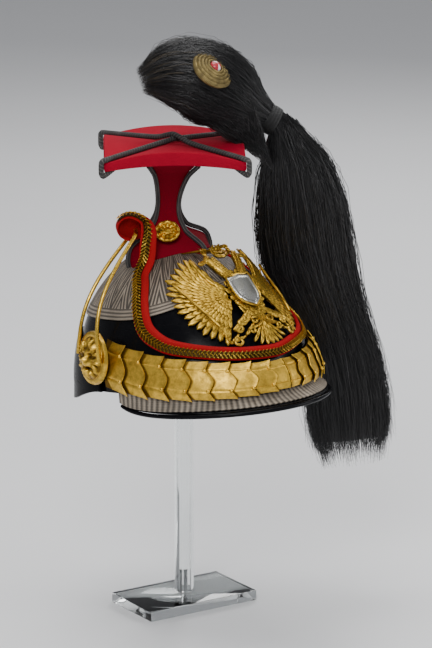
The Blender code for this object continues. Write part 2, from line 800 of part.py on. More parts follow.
def board_rim(cells):
    """The grid places round the board's edge, in order."""
    first = [(cell, 0) for cell in range(cells)]
    second = [(cells, cell) for cell in range(cells)]
    third = [(cells - cell, cells) for cell in range(cells)]
    fourth = [(0, cells - cell) for cell in range(cells)]
    return first + second + third + fourth


def make_board(cloth):
    cells = BOARD_CELLS
    maker = bmesh.new()
    top = {}
    low = {}
    hole = cells // 8
    for i in range(cells + 1):
        for j in range(cells + 1):
            across, along = 2 * i / cells - 1, 2 * j / cells - 1
            top[i, j] = maker.verts.new(on_board(across, along, board_high(across, along)))
            if max(abs(i - cells // 2), abs(j - cells // 2)) >= hole:
                low[i, j] = maker.verts.new(on_board(across, along, board_low(across, along)))
    for i in range(cells):
        for j in range(cells):
            ring = ((i, j), (i + 1, j), (i + 1, j + 1), (i, j + 1))
            if i == j:
                maker.faces.new([top[place] for place in ring[:3]])
                maker.faces.new([top[place] for place in (ring[0], ring[2], ring[3])])
            elif i + j == cells - 1:
                maker.faces.new([top[place] for place in (ring[0], ring[1], ring[3])])
                maker.faces.new([top[place] for place in ring[1:]])
            else:
                maker.faces.new([top[place] for place in ring])
            centre = max(abs(i + 0.5 - cells / 2), abs(j + 0.5 - cells / 2))
            if centre > hole:
                maker.faces.new([low[place] for place in ring][::-1])
    waist = []
    rim = board_rim(cells)
    for i, j in rim:
        across, along = 2 * i / cells - 1, 2 * j / cells - 1
        height = (board_low(across, along) + board_high(across, along)) / 2
        waist.append(maker.verts.new(on_board(across, along, height, BOARD_BULGE)))
    for step, place in enumerate(rim):
        after = (step + 1) % len(rim)
        maker.faces.new((low[place], low[rim[after]], waist[after], waist[step]))
        maker.faces.new((waist[step], waist[after], top[rim[after]], top[place]))
    made = finish(maker, "top_board", cloth)
    thicken = made.modifiers.new("Wall", "SOLIDIFY")
    thicken.thickness = BOARD_WALL
    thicken.offset = -1.0
    thicken.use_even_offset = True
    return made


def diagonal_route(side, hump):
    """A cord from under one corner, over the board and under the opposite corner."""
    stand = TOP_CORD_RADIUS + 2 * GAP
    outward = (on_board(1.0, side, 0.0) - board_under()).normalized()
    low, high = board_low(1.0, side), board_high(1.0, side)
    reach = stand + BOARD_BULGE * 1.5
    half = [on_board(0.86, side * 0.86, low - stand)]
    for turn in (-80, -40, 0):
        angle = math.radians(turn)
        half.append(on_board(1.0, side, low + stand * math.sin(angle)) + outward * reach * math.cos(angle))
    for turn in (0, 40, 80):
        angle = math.radians(turn)
        half.append(on_board(1.0, side, high + stand * math.sin(angle)) + outward * reach * math.cos(angle))
    for share in (0.85, 0.5, 0.28, 0.17, 0.08, 0.0):
        lift = stand + hump * math.exp(-((share / 0.16) ** 2))
        half.append(on_board(share, side * share, board_high(share, share) + lift))
    middle = board_under()
    mirrored = []
    for point in half[-2::-1]:
        off = point - middle
        mirrored.append(middle + Vector((-off.x, -off.y, off.z)))
    return half + mirrored


def make_top_cords(braid):
    under = baked(cord("top_cords", diagonal_route(1, 0.0), TOP_CORD_RADIUS, braid))
    over = baked(cord("top_cords_over", diagonal_route(-1, TOP_CORD_RADIUS * 1.7), TOP_CORD_RADIUS, braid))
    return combine(under, over, "UNION")


def make_button(name, corner, brass):
    """A round button on a shank, on one face of the waist."""
    seat = waist_point(BUTTON_SHARE, corner)
    along = waist_point(BUTTON_SHARE, corner + 0.1) - waist_point(BUTTON_SHARE, corner - 0.1)
    up_it = waist_point(BUTTON_SHARE + 0.03, corner) - waist_point(BUTTON_SHARE - 0.03, corner)
    facing = along.cross(up_it).normalized()
    facing = (facing - UP * facing.z * 0.4).normalized()
    back = BUTTON_BACK
    shares = ((1.0, 0.0), (1.04, 0.10), (0.94, 0.22), (0.70, 0.20), (0.58, 0.26), (0.34, 0.44), (0.0, 0.50))
    shank = BUTTON_RADIUS * 0.22
    foot = SEAT_GAP + 2 * GAP
    profile = [(0.0, foot), (shank, foot), (shank, back)]
    profile += [(BUTTON_RADIUS * share, back + BUTTON_RADIUS * height) for share, height in shares]
    made = turned(name, profile, 16, brass)
    return stand_up(made, seat, facing)


def curl_middle():
    return crown() + Vector(CURL_FROM_CROWN)


def chain_frames():
    """Points, facings and widths along the chain band."""
    places = []
    facings = []
    widths = []
    for row in CHAIN_ON_SKULL:
        turn = math.radians(row["turn"])
        level = row["height"] * SKULL_HEIGHT
        places.append(on_skull(turn, level, CHAIN_OUT))
        facings.append(skull_normal(turn, level))
        widths.append(Vector((row["wide"], 0, 0)))
    along, across = Vector(CURL_ALONG), Vector(CURL_ACROSS)
    for row in CHAIN_CURL:
        offset = along * row["along"] + across * row["across"] + UP * row["up"]
        places.append(curl_middle() + offset)
        facing = row["faces"]
        facings.append((along * facing[0] + across * facing[1] + UP * facing[2]).normalized())
        widths.append(Vector((CURL_WIDE, 0, 0)))
    points, ways, wides = (smooth(rows, CHAIN_STEPS) for rows in (places, facings, widths))
    frames = []
    for index, point in enumerate(points):
        ahead = points[min(index + 1, len(points) - 1)] - points[max(index - 1, 0)]
        ahead.normalize()
        facing = (ways[index] - ahead * ways[index].dot(ahead)).normalized()
        frames.append((point, facing, ahead.cross(facing), wides[index].x * CHAIN_BACKING_WIDTH / 2))
    return frames


def make_chain(cloth, brass):
    """The cloth band with the chain's outer form along its lower and outer part."""
    wall = CHAIN_BACKING_WALL / 2
    backing = []
    links = []
    for index, (point, facing, across, half) in enumerate(chain_frames()):
        ring = ((-half, -wall), (half, -wall), (half, wall), (-half, wall))
        backing.append([point + across * side + facing * lift for side, lift in ring])
        knob = CHAIN_KNOB if index % 2 else 0.0
        edge = half * CHAIN_SHARE - knob
        middle = -half * (1 - CHAIN_SHARE) * 0.8
        low = wall + CHAIN_LIFT
        high = low + CHAIN_WALL - knob
        ring = ((-edge, low), (edge, low), (edge * 0.7, high), (0, high * 0.85), (-edge * 0.7, high))
        links.append([point + across * (middle + side) + facing * lift for side, lift in ring])
    loft("chain_backing", backing, cloth)
    loft("chain_links", links, brass)


def make_hook(brass):
    """A wire bail from the right boss up through the chain band's curl."""
    seat, facing = boss_seat(-1)
    backward = UP.cross(facing).normalized() * -1
    face = BOSS_OUT + boss_face(HOOK_FOOT_SPREAD / 2 / BOSS_RADIUS) + HOOK_RADIUS + SEAT_GAP
    top = curl_middle() + Vector(CURL_ALONG) * HOOK_TOP[0] + UP * HOOK_TOP[2]
    top += Vector(CURL_ACROSS) * HOOK_TOP[1]
    legs = []
    for side in (-1, 1):
        foot = seat + facing * face + backward * side * HOOK_FOOT_SPREAD / 2
        head = top - Vector(CURL_ACROSS) * side * HOOK_SPREAD / 2
        leg = []
        for share in spread(0.0, 1.0, 9):
            bow = Vector((-HOOK_BOW * math.sin(math.pi * share), 0, 0))
            leg.append(foot.lerp(head, share) + bow)
        legs.append(leg)
    across = (legs[1][-1] - legs[0][-1]) / 2
    middle = (legs[0][-1] + legs[1][-1]) / 2
    arch = []
    for turn in (150, 120, 90, 60, 30):
        angle = math.radians(turn)
        arch.append(middle + across * math.cos(angle) + UP * 0.002 * math.sin(angle))
    return cord("chain_hook", legs[0] + arch + legs[1][::-1], HOOK_RADIUS, brass)


def on_eagle(out, up, above):
    """A point on the eagle plate, bent round the front of the skull. Out and up are lengths on the flat plate."""
    share = up / EAGLE_TALL
    height = EAGLE_LOW + EAGLE_RISE * share
    lift = EAGLE_OUT + EAGLE_LIFT * ease((share - 0.55) / 0.45)
    radius = RIM_HALF_LENGTH * skull_share(min(height, SKULL_HEIGHT * 0.72))
    return on_skull(out / radius, min(height, SKULL_HEIGHT * 0.86), lift + above) + UP * max(
        height - SKULL_HEIGHT * 0.86, 0.0
    )


def eagle_relief(out, up):
    """The cast plate's rise over its flat ground."""
    body = math.exp(-((out / 0.016) ** 2) - ((up - SHIELD_MIDDLE) / 0.026) ** 2)
    head = math.exp(-(((abs(out) - 0.015) / 0.006) ** 2) - ((up - 0.083) / 0.006) ** 2)
    return EAGLE_BODY_RELIEF * max(body, head * 0.7)


def eagle_outline():
    """Half of the plate's outline, with the wing's feather tips as points of a fan."""
    tall = EAGLE_TALL
    half = [(row["out"] * tall, row["up"] * tall) for row in EAGLE_TOP]
    root_out, root_up = EAGLE_ROOT_OUT * tall, EAGLE_ROOT_UP * tall
    for index in range(2 * EAGLE_FEATHERS - 1):
        angle = EAGLE_FAN_START - EAGLE_FAN_TURN * index / (2 * EAGLE_FEATHERS - 2)
        reach = tall * (EAGLE_REACH - 0.05 * math.sin(angle))
        if index % 2:
            reach *= 0.87
        half.append((root_out + reach * math.cos(angle), root_up + reach * math.sin(angle)))
    half += [(row["out"] * tall, row["up"] * tall) for row in EAGLE_FOOT]
    return half


def flat_plate(name, width, tall, low, cells_across, cells_up, thick, material):
    """A flat plate on a grid, its back at height zero."""
    levels = []
    for level in (thick, 0.0):
        rows = []
        for up in spread(low, low + tall, cells_up + 1):
            rows.append([(out, up, level) for out in spread(-width / 2, width / 2, cells_across + 1)])
        levels.append(rows)
    return slab(name, levels[0], levels[1], material)


def prism(name, outline, low, high, material):
    maker = bmesh.new()
    ring = [maker.verts.new((x, y, low)) for x, y in outline]
    face = maker.faces.new(ring)
    grown = bmesh.ops.extrude_face_region(maker, geom=[face])
    raised = [item for item in grown["geom"] if isinstance(item, bmesh.types.BMVert)]
    bmesh.ops.translate(maker, vec=(0, 0, high - low), verts=raised)
    bmesh.ops.recalc_face_normals(maker, faces=maker.faces)
    return finish(maker, name, material)


def ellipse(out, up, wide, tall, sides=7):
    points = []
    for step in range(sides):
        angle = math.tau * step / sides
        points.append((out + wide * math.cos(angle), up + tall * math.sin(angle)))
    return points


def bend_on_plate(made, above):
    """Moves a flat shape's points on to the eagle plate's place."""
    for corner in made.data.vertices:
        out, up, level = corner.co
        rise = eagle_relief(out, up) if level > EAGLE_WALL * 0.5 or above > 0 else 0.0
        corner.co = on_eagle(out, up, above + level + rise)
    return made


def make_eagle(brass):
    half = eagle_outline()
    outline = half + [(-out, up) for out, up in half[-2:0:-1]]
    plate = flat_plate("eagle_plate", EAGLE_TALL * 1.5, EAGLE_TALL * 1.07, -0.001, 12, 8, EAGLE_WALL, brass)
    combine(plate, prism("eagle_outline_cutter", outline, -0.002, EAGLE_WALL + 0.002, brass), "INTERSECT")
    for number, row in enumerate(EAGLE_HOLES):
        for side in (-1, 1):
            tall = EAGLE_TALL
            ring = ellipse(side * row["out"] * tall, row["up"] * tall, row["wide"] * tall, row["tall"] * tall)
            name = "eagle_hole_cutter_%d_%s" % (number, "left" if side > 0 else "right")
            combine(plate, prism(name, ring, -0.003, EAGLE_WALL + 0.003, brass), "DIFFERENCE")
    return bend_on_plate(baked(plate), 0.0)


def make_shield(silver):
    wide, tall = SHIELD_WIDTH / 2, SHIELD_TALL / 2
    right = [(0.0, 1.0), (0.95, 0.9), (1.0, 0.2), (0.92, -0.35), (0.6, -0.75), (0.0, -1.05)]
    outline = [(x * wide, SHIELD_MIDDLE + y * tall) for x, y in right]
    outline += [(-x, y) for x, y in outline[-2:0:-1]]
    low = SHIELD_MIDDLE - tall * 1.1
    plate = flat_plate("eagle_shield", wide * 2.2, tall * 2.2, low, 4, 4, SHIELD_WALL, silver)
    combine(plate, prism("shield_cutter", outline, -0.002, SHIELD_WALL + 0.002, silver), "INTERSECT")
    return bend_on_plate(baked(plate), EAGLE_WALL + SEAT_GAP)


def plume_place(out, side, up):
    """A point by the plume: out from the board's side, to its near side, and up from the board's underside."""
    outward = board_axes()[0]
    nearby = -board_axes()[1]
    return board_under() + outward * (BOARD_REACH / math.sqrt(2) + out) + nearby * side + UP * up


def hair_rings(rows, width_key):
    """Grooved rings along the plume, square to its middle line."""
    middles = [plume_place(row["out"], row.get("side", 0.0), row["up"]) for row in rows]
    nearby = -board_axes()[1]
    rings = []
    for index, (row, middle) in enumerate(zip(rows, middles)):
        ahead = middles[min(index + 1, len(rows) - 1)] - middles[max(index - 1, 0)]
        across = ahead.cross(nearby).normalized()
        wide, deep = row[width_key] * PLUME_SIZE, row["deep"] * PLUME_SIZE
        ring = []
        for column in range(PLUME_COLUMNS):
            angle = math.tau * column / PLUME_COLUMNS
            groove = 1 + PLUME_GROOVE * math.cos(PLUME_LOCKS * angle)
            if row[width_key] <= 0.15:
                groove = 1.0
            ring.append(
                middle + across * math.cos(angle) * wide * groove + nearby * math.sin(angle) * deep * groove
            )
        rings.append(ring)
    return rings


def make_plume(hair, binding, iron):
    """The plume's head and tail, the tie between them and the bracket that holds it."""
    head = loft("plume_head", hair_rings(PLUME_HEAD_ROWS, "tall"), hair)
    loft("plume_tail", hair_rings(PLUME_TAIL_ROWS, "wide"), hair)
    foot = BOARD_BULGE + GAP * 2
    level = (board_low(1, 0) + board_high(1, 0)) / 2
    turn_out = foot + BRACKET_OUT
    route = [
        plume_place(foot, 0.0, level),
        plume_place(turn_out - 0.004, 0.0, level),
        plume_place(turn_out - 0.001, 0.0, level + 0.001),
        plume_place(turn_out, 0.0, level + 0.004),
        plume_place(turn_out, 0.0, level + BRACKET_RISE),
    ]
    cord("plume_bracket", route, BRACKET_RADIUS, iron, rounding=2)
    socket_route = route[2:4] + [plume_place(turn_out, 0.0, level + BRACKET_RISE + 2 * GAP)]
    socket = baked(cord("plume_socket_cutter", socket_route, BRACKET_RADIUS + GAP, iron, rounding=2))
    combine(head, socket, "DIFFERENCE")
    start, end = PLUME_HEAD_ROWS[-1], PLUME_TAIL_ROWS[1]
    first = plume_place(start["out"], 0.0, start["up"])
    last = plume_place(end["out"], end["side"], end["up"])
    axis = (last - first).normalized()
    inner = PLUME_SIZE * 0.15 + GAP * 3
    outer = inner + TIE_WALL
    half = TIE_LENGTH / 2
    maker = bmesh.new()
    rings = []
    for radius, level in ((inner, -half), (outer, -half), (outer, half), (inner, half)):
        ring = []
        for column in range(PLUME_COLUMNS):
            angle = math.tau * column / PLUME_COLUMNS
            ring.append(maker.verts.new((radius * math.cos(angle), radius * math.sin(angle), level)))
        rings.append(ring)
    grid_faces(maker, rings + [rings[0]], True)
    bmesh.ops.recalc_face_normals(maker, faces=maker.faces)
    tie = finish(maker, "plume_tie", binding)
    stand_up(tie, first - axis * TIE_LENGTH * 0.15, axis)
    return head


def make_cockade(head, bullion, enamel):
    """The ribbed cockade, set into the plume's head."""
    outward, nearby = board_axes()[0], -board_axes()[1]
    facing = (outward * COCKADE_FACES[0] + nearby * COCKADE_FACES[1] + UP * COCKADE_FACES[2]).normalized()
    middle = plume_place(COCKADE_OUT, COCKADE_SIDE, COCKADE_UP)
    radius, depth = COCKADE_RADIUS, COCKADE_DEPTH
    seat = COCKADE_CENTRE_RADIUS + GAP
    profile = [(0.0, 0.0), (radius * 0.9, 0.0), (radius, depth * 0.3), (radius * 0.86, depth * 0.65)]
    profile += [(radius * 0.6, depth * 0.92), (seat, depth), (seat, depth * 0.7), (0.0, depth * 0.7)]
    stand_up(turned("cockade", profile, 24, bullion), middle, facing)
    low = depth * 0.7 + GAP
    small = COCKADE_CENTRE_RADIUS
    cap = [(0.0, low), (small, low), (small, depth), (small * 0.7, depth * 1.22), (0.0, depth * 1.32)]
    stand_up(turned("cockade_centre", cap, 16, enamel), middle, facing)
    pocket = peg("cockade_pocket_cutter", radius + GAP * 2, -GAP * 2, 0.05, 24, bullion)
    stand_up(pocket, middle, facing)
    combine(head, pocket, "DIFFERENCE")


def make_stand(clear, steel):
    """A clear plate, a post on a stud and a round head that fills the crown."""
    size = (PLATE_LENGTH, PLATE_WIDTH, PLATE_THICKNESS)
    plate = block("stand_plate", size, (0, 0, PLATE_THICKNESS / 2), clear, STAND_TURN)
    head_low = stand_head_low()
    post_low, post_high = PLATE_THICKNESS + GAP, head_low - GAP
    middle = (0, 0, (post_low + post_high) / 2)
    post = block("stand_post", (POST_SIDE, POST_SIDE, post_high - post_low), middle, clear, STAND_TURN)
    low, high = PLATE_THICKNESS - STUD_IN_PLATE, post_low + STUD_IN_POST
    peg("stand_stud", STUD_RADIUS, low, high, 12, steel)
    hole = peg("stud_hole_cutter", STUD_RADIUS + GAP, low - GAP, high + GAP, 12, steel)
    combine(plate, hole, "DIFFERENCE")
    combine(post, hole, "DIFFERENCE")
    inside = dome_block("stand_head_cutter", -SKULL_WALL - SEAT_GAP - GAP, clear)
    head = peg("stand_head", STAND_HEAD_RADIUS, head_low, head_low + STAND_HEAD_RADIUS, 20, clear)
    combine(head, inside, "INTERSECT")


def stand_head_low():
    """Where the stand's head begins, under the crown."""
    return crown().z - SKULL_WALL - STAND_HEAD_DEPTH


def main():
    clear_scene()
    clear = make_material("clear_acrylic", (0.9, 0.93, 0.94), 0.05, 0.0, 0.35)
    steel = make_material("steel", (0.6, 0.6, 0.62), 0.3, 1.0)
    iron = make_material("black_iron", (0.02, 0.02, 0.02), 0.45, 0.8)
    leather = make_material("lacquered_leather", (0.012, 0.012, 0.014), 0.15, 0.0)
    red = make_material("red_cloth", (0.42, 0.02, 0.045), 0.9, 0.0)
    lace = make_material("silver_lace", (0.42, 0.37, 0.30), 0.55, 0.3)
    braid = make_material("black_silver_cord", (0.10, 0.10, 0.10), 0.6, 0.2)
    brass = make_material("gilt_brass", (0.80, 0.56, 0.22), 0.3, 1.0)
    silver = make_material("silver", (0.75, 0.75, 0.72), 0.3, 1.0)
    hair = make_material("black_horsehair", (0.01, 0.01, 0.011), 0.5, 0.0)
    bullion = make_material("gold_bullion", (0.45, 0.36, 0.18), 0.5, 0.5)
    enamel = make_material("red_centre", (0.6, 0.05, 0.06), 0.4, 0.0)
    make_stand(clear, steel)
    make_skull(leather)
    make_lace_band(lace)
    make_neck_guard(leather)
    make_visor(leather, lace)
    make_strap(leather)
    for name, side in (("right", -1), ("left", 1)):
        make_scales("scales_" + name, side, brass)
        make_boss("boss_" + name, side, brass)
    make_waist(red)
    make_waist_cords(braid)
    make_board(red)
    make_top_cords(braid)
    make_button("waist_button", -0.5, brass)
    make_chain(red, brass)
    make_hook(brass)
    make_eagle(brass)
    make_shield(silver)
    head = make_plume(hair, braid, iron)
    make_cockade(head, bullion, enamel)


if __name__ == "__main__":
    main()
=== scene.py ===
"""Looks for a lancer cap with a horsehair plume, on a clear display stand.

Run as a script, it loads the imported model, dresses each piece and sets the stage. Its sidebar panel lists the
same steps. +Z is up, -Y is the front of the cap and +X the wearer's left. Lengths are metres.
"""

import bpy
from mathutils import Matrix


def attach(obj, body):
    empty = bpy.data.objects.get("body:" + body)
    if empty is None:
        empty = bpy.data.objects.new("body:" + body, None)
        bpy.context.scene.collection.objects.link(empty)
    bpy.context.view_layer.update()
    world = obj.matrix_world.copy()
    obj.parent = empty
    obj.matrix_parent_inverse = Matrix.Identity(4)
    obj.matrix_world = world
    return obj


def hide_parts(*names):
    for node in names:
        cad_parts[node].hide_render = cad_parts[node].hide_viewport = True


bl_info = {
    "name": "Lancer Cap on Stand",
    "version": (1, 0, 0),
    "blender": (4, 5, 0),
    "location": "3D View > Sidebar > Lancer Cap",
    "description": "Dresses the packed lancer cap with leather, lace, gilt plates, cloth, cords and hair",
    "category": "Add Mesh",
}

import math

import bpy
import numpy as np
from mathutils import Matrix, Vector

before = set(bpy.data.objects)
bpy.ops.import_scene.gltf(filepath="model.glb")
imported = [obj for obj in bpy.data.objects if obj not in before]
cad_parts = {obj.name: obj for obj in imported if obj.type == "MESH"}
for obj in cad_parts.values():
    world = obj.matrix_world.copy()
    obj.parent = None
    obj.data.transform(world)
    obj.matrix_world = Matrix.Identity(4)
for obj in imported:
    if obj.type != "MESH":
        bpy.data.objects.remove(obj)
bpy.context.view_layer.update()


def table(columns, *rows):
    """Rows with named columns."""
    return [dict(zip(columns.split(), row)) for row in rows]


GAP = 0.0003
SEAT_GAP = 0.0006

PLATE_LENGTH = 0.106
PLATE_WIDTH = 0.063
PLATE_THICKNESS = 0.0088
STAND_TURN = math.radians(-9.8)
POST_SIDE = 0.012
STUD_RADIUS = 0.002
THREAD_DEPTH = 0.0002
THREAD_TURNS = 25
STUD_IN_POST = 0.020
STUD_IN_PLATE = 0.005
STAND_HEAD_DEPTH = 0.016

RIM_HALF_LENGTH = 0.105
RIM_HALF_WIDTH = 0.088
RIM_HEIGHT = 0.203
RIM_FORWARD = 0.0127
RIM_TILT = math.radians(8.0)
SKULL_HEIGHT = 0.110
SKULL_SHAPE = 1.8
SKULL_WALL = 0.002
CROWN_LEAN = 0.13

LACE_WALL = 0.0015
LACE_LOW = SKULL_HEIGHT * 0.5182
LACE_FRONT_RISE = 0.020
LACE_TOP = SKULL_HEIGHT - 0.010

GUARD_WALL = 0.0025
GUARD_START = math.radians(98.0)
GUARD_FULL = math.radians(138.0)
GUARD_TOP = 0.042
GUARD_SIDE_TOP = 0.010
GUARD_DROP = 0.0125
GUARD_FLARE = 0.0035

VISOR_WALL = 0.0025
VISOR_ROOT = 0.002
VISOR_REACH = 0.0195
VISOR_DROP = 0.0155
VISOR_FRONT_DROP = 0.0055
VISOR_CURL = 2.2
VISOR_END = math.radians(85.0)
VISOR_FADE = math.radians(88.0)
VISOR_LACE_WALL = 0.0008
VISOR_LACE_SHARE = 0.93
BINDING_RADIUS = 0.0018

STRAP_OUT = 0.0035
STRAP_WALL = 0.0013
STRAP_END = math.radians(90.5)
STRAP_FRONT_HEIGHT = 0.005
STRAP_SIDE_RISE = 0.021
STRAP_FRONT_WIDTH = 0.0205
STRAP_SIDE_WIDTH = 0.037
SCALES_PER_SIDE = 9
SCALE_LOBE = 0.0055

BOSS_ANGLE = math.radians(95.0)
BOSS_HEIGHT = 0.0285
BOSS_TURN = math.radians(-8.0)
BOSS_RADIUS = 0.0222
BOSS_OUT = 0.0102
BOSS_SHANK = 0.004

WAIST_WALL = 0.0022
WAIST_RISE = 0.0735
WAIST_SINK = 0.012
WAIST_REACH = 0.048
WAIST_BOW = 0.0045
# Rows of the waist: how far up it is, how far its corners reach, and how hollow its faces are.
WAIST_ROWS = table(
    "rise reach hollow",
    (-0.10, 0.80, -0.17),
    (0.02, 0.92, -0.15),
    (0.115, 0.90, -0.10),
    (0.173, 0.83, 0.0),
    (0.208, 0.70, 0.04),
    (0.261, 0.47, 0.07),
    (0.309, 0.37, 0.07),
    (0.419, 0.246, 0.07),
    (0.56, 0.21, 0.07),
    (0.723, 0.2625, 0.07),
    (0.863, 0.369, 0.07),
    (0.933, 0.479, 0.05),
    (1.03, 0.66, 0.03),
)
WAIST_CORD_RADIUS = 0.0020
WAIST_FOOT_STEP = 0.0002

BOARD_REACH = 0.081
BOARD_TURN = math.radians(4.0)
BOARD_FORWARD = 0.005
BOARD_EDGE_LIFT = 0.005
BOARD_THICKNESS = 0.0133
BOARD_EDGE_RISE = 0.003
BOARD_DROOP = 0.009
BOARD_BULGE = 0.0008
TOP_CORD_RADIUS = 0.0022

BUTTON_RADIUS = 0.0100
BUTTON_BACK = 0.0078
BUTTON_SHARE = 0.245

CHAIN_BACKING_WIDTH = 0.0150
CHAIN_BACKING_WALL = 0.0024
CHAIN_SHARE = 0.6
CURL_WIDE = 0.92
CHAIN_OUT = 0.0040
# The chain band's route on the skull, from the wearer's left round the front to the right: its turn, and its
# height as a share of the skull's.
CHAIN_ON_SKULL = table(
    "turn height wide",
    (75, 0.8364, 1.0),
    (73, 0.7091, 1.0),
    (71, 0.5636, 1.0),
    (66, 0.4545, 0.95),
    (57, 0.3682, 0.85),
    (46, 0.3136, 0.76),
    (30, 0.2636, 0.75),
    (8, 0.2255, 0.75),
    (-4, 0.2182, 0.75),
    (-22, 0.2382, 0.75),
    (-38, 0.2727, 0.76),
    (-53, 0.3182, 0.84),
    (-61, 0.3682, 0.92),
    (-67, 0.4364, 1.0),
    (-70, 0.5182, 1.0),
    (-72, 0.6182, 1.0),
    (-74, 0.7273, 1.0),
    (-77, 0.8000, 1.0),
)
# The free curl at its right end, from the curl's middle: along it, across it and up, and the way it faces.
CURL_FROM_CROWN = (-0.0497, -0.01137, 0.02006)
CURL_ALONG = (0.731, -0.682, 0.0)
CURL_ACROSS = (-0.682, -0.731, 0.0)
CHAIN_CURL = table(
    "along across up faces",
    (0.0100, 0.001, -0.0240, (-0.15, 0.85, 0.5)),
    (0.0112, 0.001, -0.0115, (0.15, 0.95, 0.2)),
    (0.0118, 0.000, 0.0000, (0.45, 0.80, 0.4)),
    (0.0085, -0.003, 0.0075, (0.50, 0.35, 0.8)),
    (-0.0015, -0.007, 0.0115, (0.0, 0.10, 1.0)),
    (-0.0100, -0.009, 0.0085, (-0.60, 0.0, 0.8)),
    (-0.0140, -0.010, 0.0015, (-1.0, 0.0, 0.0)),
    (-0.0118, -0.0105, -0.0050, (-0.80, 0.0, -0.6)),
    (-0.0065, -0.0105, -0.0085, (-0.35, 0.0, -0.9)),
    (-0.0010, -0.0105, -0.0092, (0.0, 0.0, -1.0)),
)
HOOK_RADIUS = 0.0016
HOOK_SPREAD = 0.028
HOOK_FOOT_SPREAD = 0.037
HOOK_BOW = 0.018
HOOK_TOP = (0.001, -0.0112, -0.003)

EAGLE_WALL = 0.0018
EAGLE_OUT = 0.0030
EAGLE_LOW = 0.0325
EAGLE_RISE = 0.0625
EAGLE_LIFT = 0.008
EAGLE_TALL = 0.096
EAGLE_BODY_RELIEF = 0.0022
SHIELD_WALL = 0.0018
SHIELD_WIDTH = 0.025
SHIELD_TALL = 0.031
SHIELD_MIDDLE = 0.0545
# Half of the shield's outline, as shares of its half width and half height.
SHIELD_HALF = ((0.0, 1.0), (0.5, 0.93), (0.95, 0.9), (1.0, 0.2), (0.92, -0.35), (0.6, -0.75), (0.0, -1.05))
SHIELD_FRAME = 0.0008
EAGLE_ROOT_OUT = 0.19
EAGLE_ROOT_UP = 0.54
EAGLE_REACH = 0.535
EAGLE_FAN_START = math.radians(53.0)
EAGLE_FAN_TURN = math.radians(109.0)
# The plume's head: out from the board's side, up from its underside, and half its height and depth there.
PLUME_SIZE = 0.066
PLUME_HEAD_ROWS = table(
    "out up tall deep",
    (-0.0795, 0.0655, 0.14, 0.14),
    (-0.0745, 0.0670, 0.25, 0.23),
    (-0.0613, 0.0695, 0.37, 0.33),
    (-0.0443, 0.0690, 0.44, 0.39),
    (-0.0273, 0.0620, 0.47, 0.41),
    (-0.0113, 0.0530, 0.42, 0.37),
    (0.0027, 0.0430, 0.31, 0.29),
    (0.0127, 0.0370, 0.21, 0.19),
    (0.0182, 0.0342, 0.15, 0.15),
    (0.0247, 0.0306, 0.15, 0.15),
)
PLUME_TAIL_ROWS = table(
    "out side up wide deep",
    (0.0253, 0.000, 0.0302, 0.15, 0.15),
    (0.0312, 0.000, 0.0268, 0.15, 0.15),
    (0.0362, -0.002, 0.0185, 0.22, 0.20),
    (0.0412, -0.006, 0.000, 0.37, 0.23),
    (0.0482, -0.012, -0.036, 0.50, 0.26),
    (0.0537, -0.020, -0.080, 0.54, 0.27),
    (0.0627, -0.028, -0.113, 0.50, 0.26),
    (0.0727, -0.034, -0.139, 0.44, 0.25),
    (0.0857, -0.036, -0.185, 0.48, 0.24),
    (0.0907, -0.035, -0.218, 0.50, 0.24),
    (0.0937, -0.034, -0.250, 0.50, 0.20),
    (0.0957, -0.034, -0.265, 0.40, 0.11),
)
TIE_WALL = 0.0016
TIE_LENGTH = 0.010
BRACKET_RADIUS = 0.0022
BRACKET_OUT = 0.006
BRACKET_RISE = 0.024
COCKADE_RADIUS = 0.0182
COCKADE_DEPTH = 0.0085
COCKADE_RING = 0.0011
COCKADE_CENTRE_RADIUS = 0.0048
COCKADE_OUT = -0.0275
COCKADE_UP = 0.0755
COCKADE_SIDE = 0.0235
COCKADE_FACES = (0.50, 0.46, 0.73)

UP = Vector((0, 0, 1))


def arithmetic(operation, swapped=False):
    """A method of Wire that adds one Math node."""

    def method(self, other):
        values = (other, self) if swapped else (self, other)
        return self.finish.maths(operation, *values)

    return method


class Wire:
    """A node's output. Arithmetic on it adds Math nodes to its material."""

    def __init__(self, finish, socket):
        self.finish = finish
        self.socket = socket

    __add__ = arithmetic("ADD")
    __radd__ = arithmetic("ADD", swapped=True)
    __sub__ = arithmetic("SUBTRACT")
    __rsub__ = arithmetic("SUBTRACT", swapped=True)
    __mul__ = arithmetic("MULTIPLY")
    __rmul__ = arithmetic("MULTIPLY", swapped=True)
    __truediv__ = arithmetic("DIVIDE")
    __lt__ = arithmetic("LESS_THAN")
    __gt__ = arithmetic("GREATER_THAN")

    def fract(self):
        return self.finish.maths("FRACT", self)

    def wave(self):
        """A sine of it, from 0 to 1."""
        return self.finish.maths("SINE", self) * 0.5 + 0.5

    def tent(self):
        """A zigzag from 0 to 1 and back, once for each whole number."""
        return self.finish.maths("ABSOLUTE", self.fract() * 2.0 - 1.0)

    def clamp(self):
        return self.finish.maths("MINIMUM", self.finish.maths("MAXIMUM", self, 0.0), 1.0)


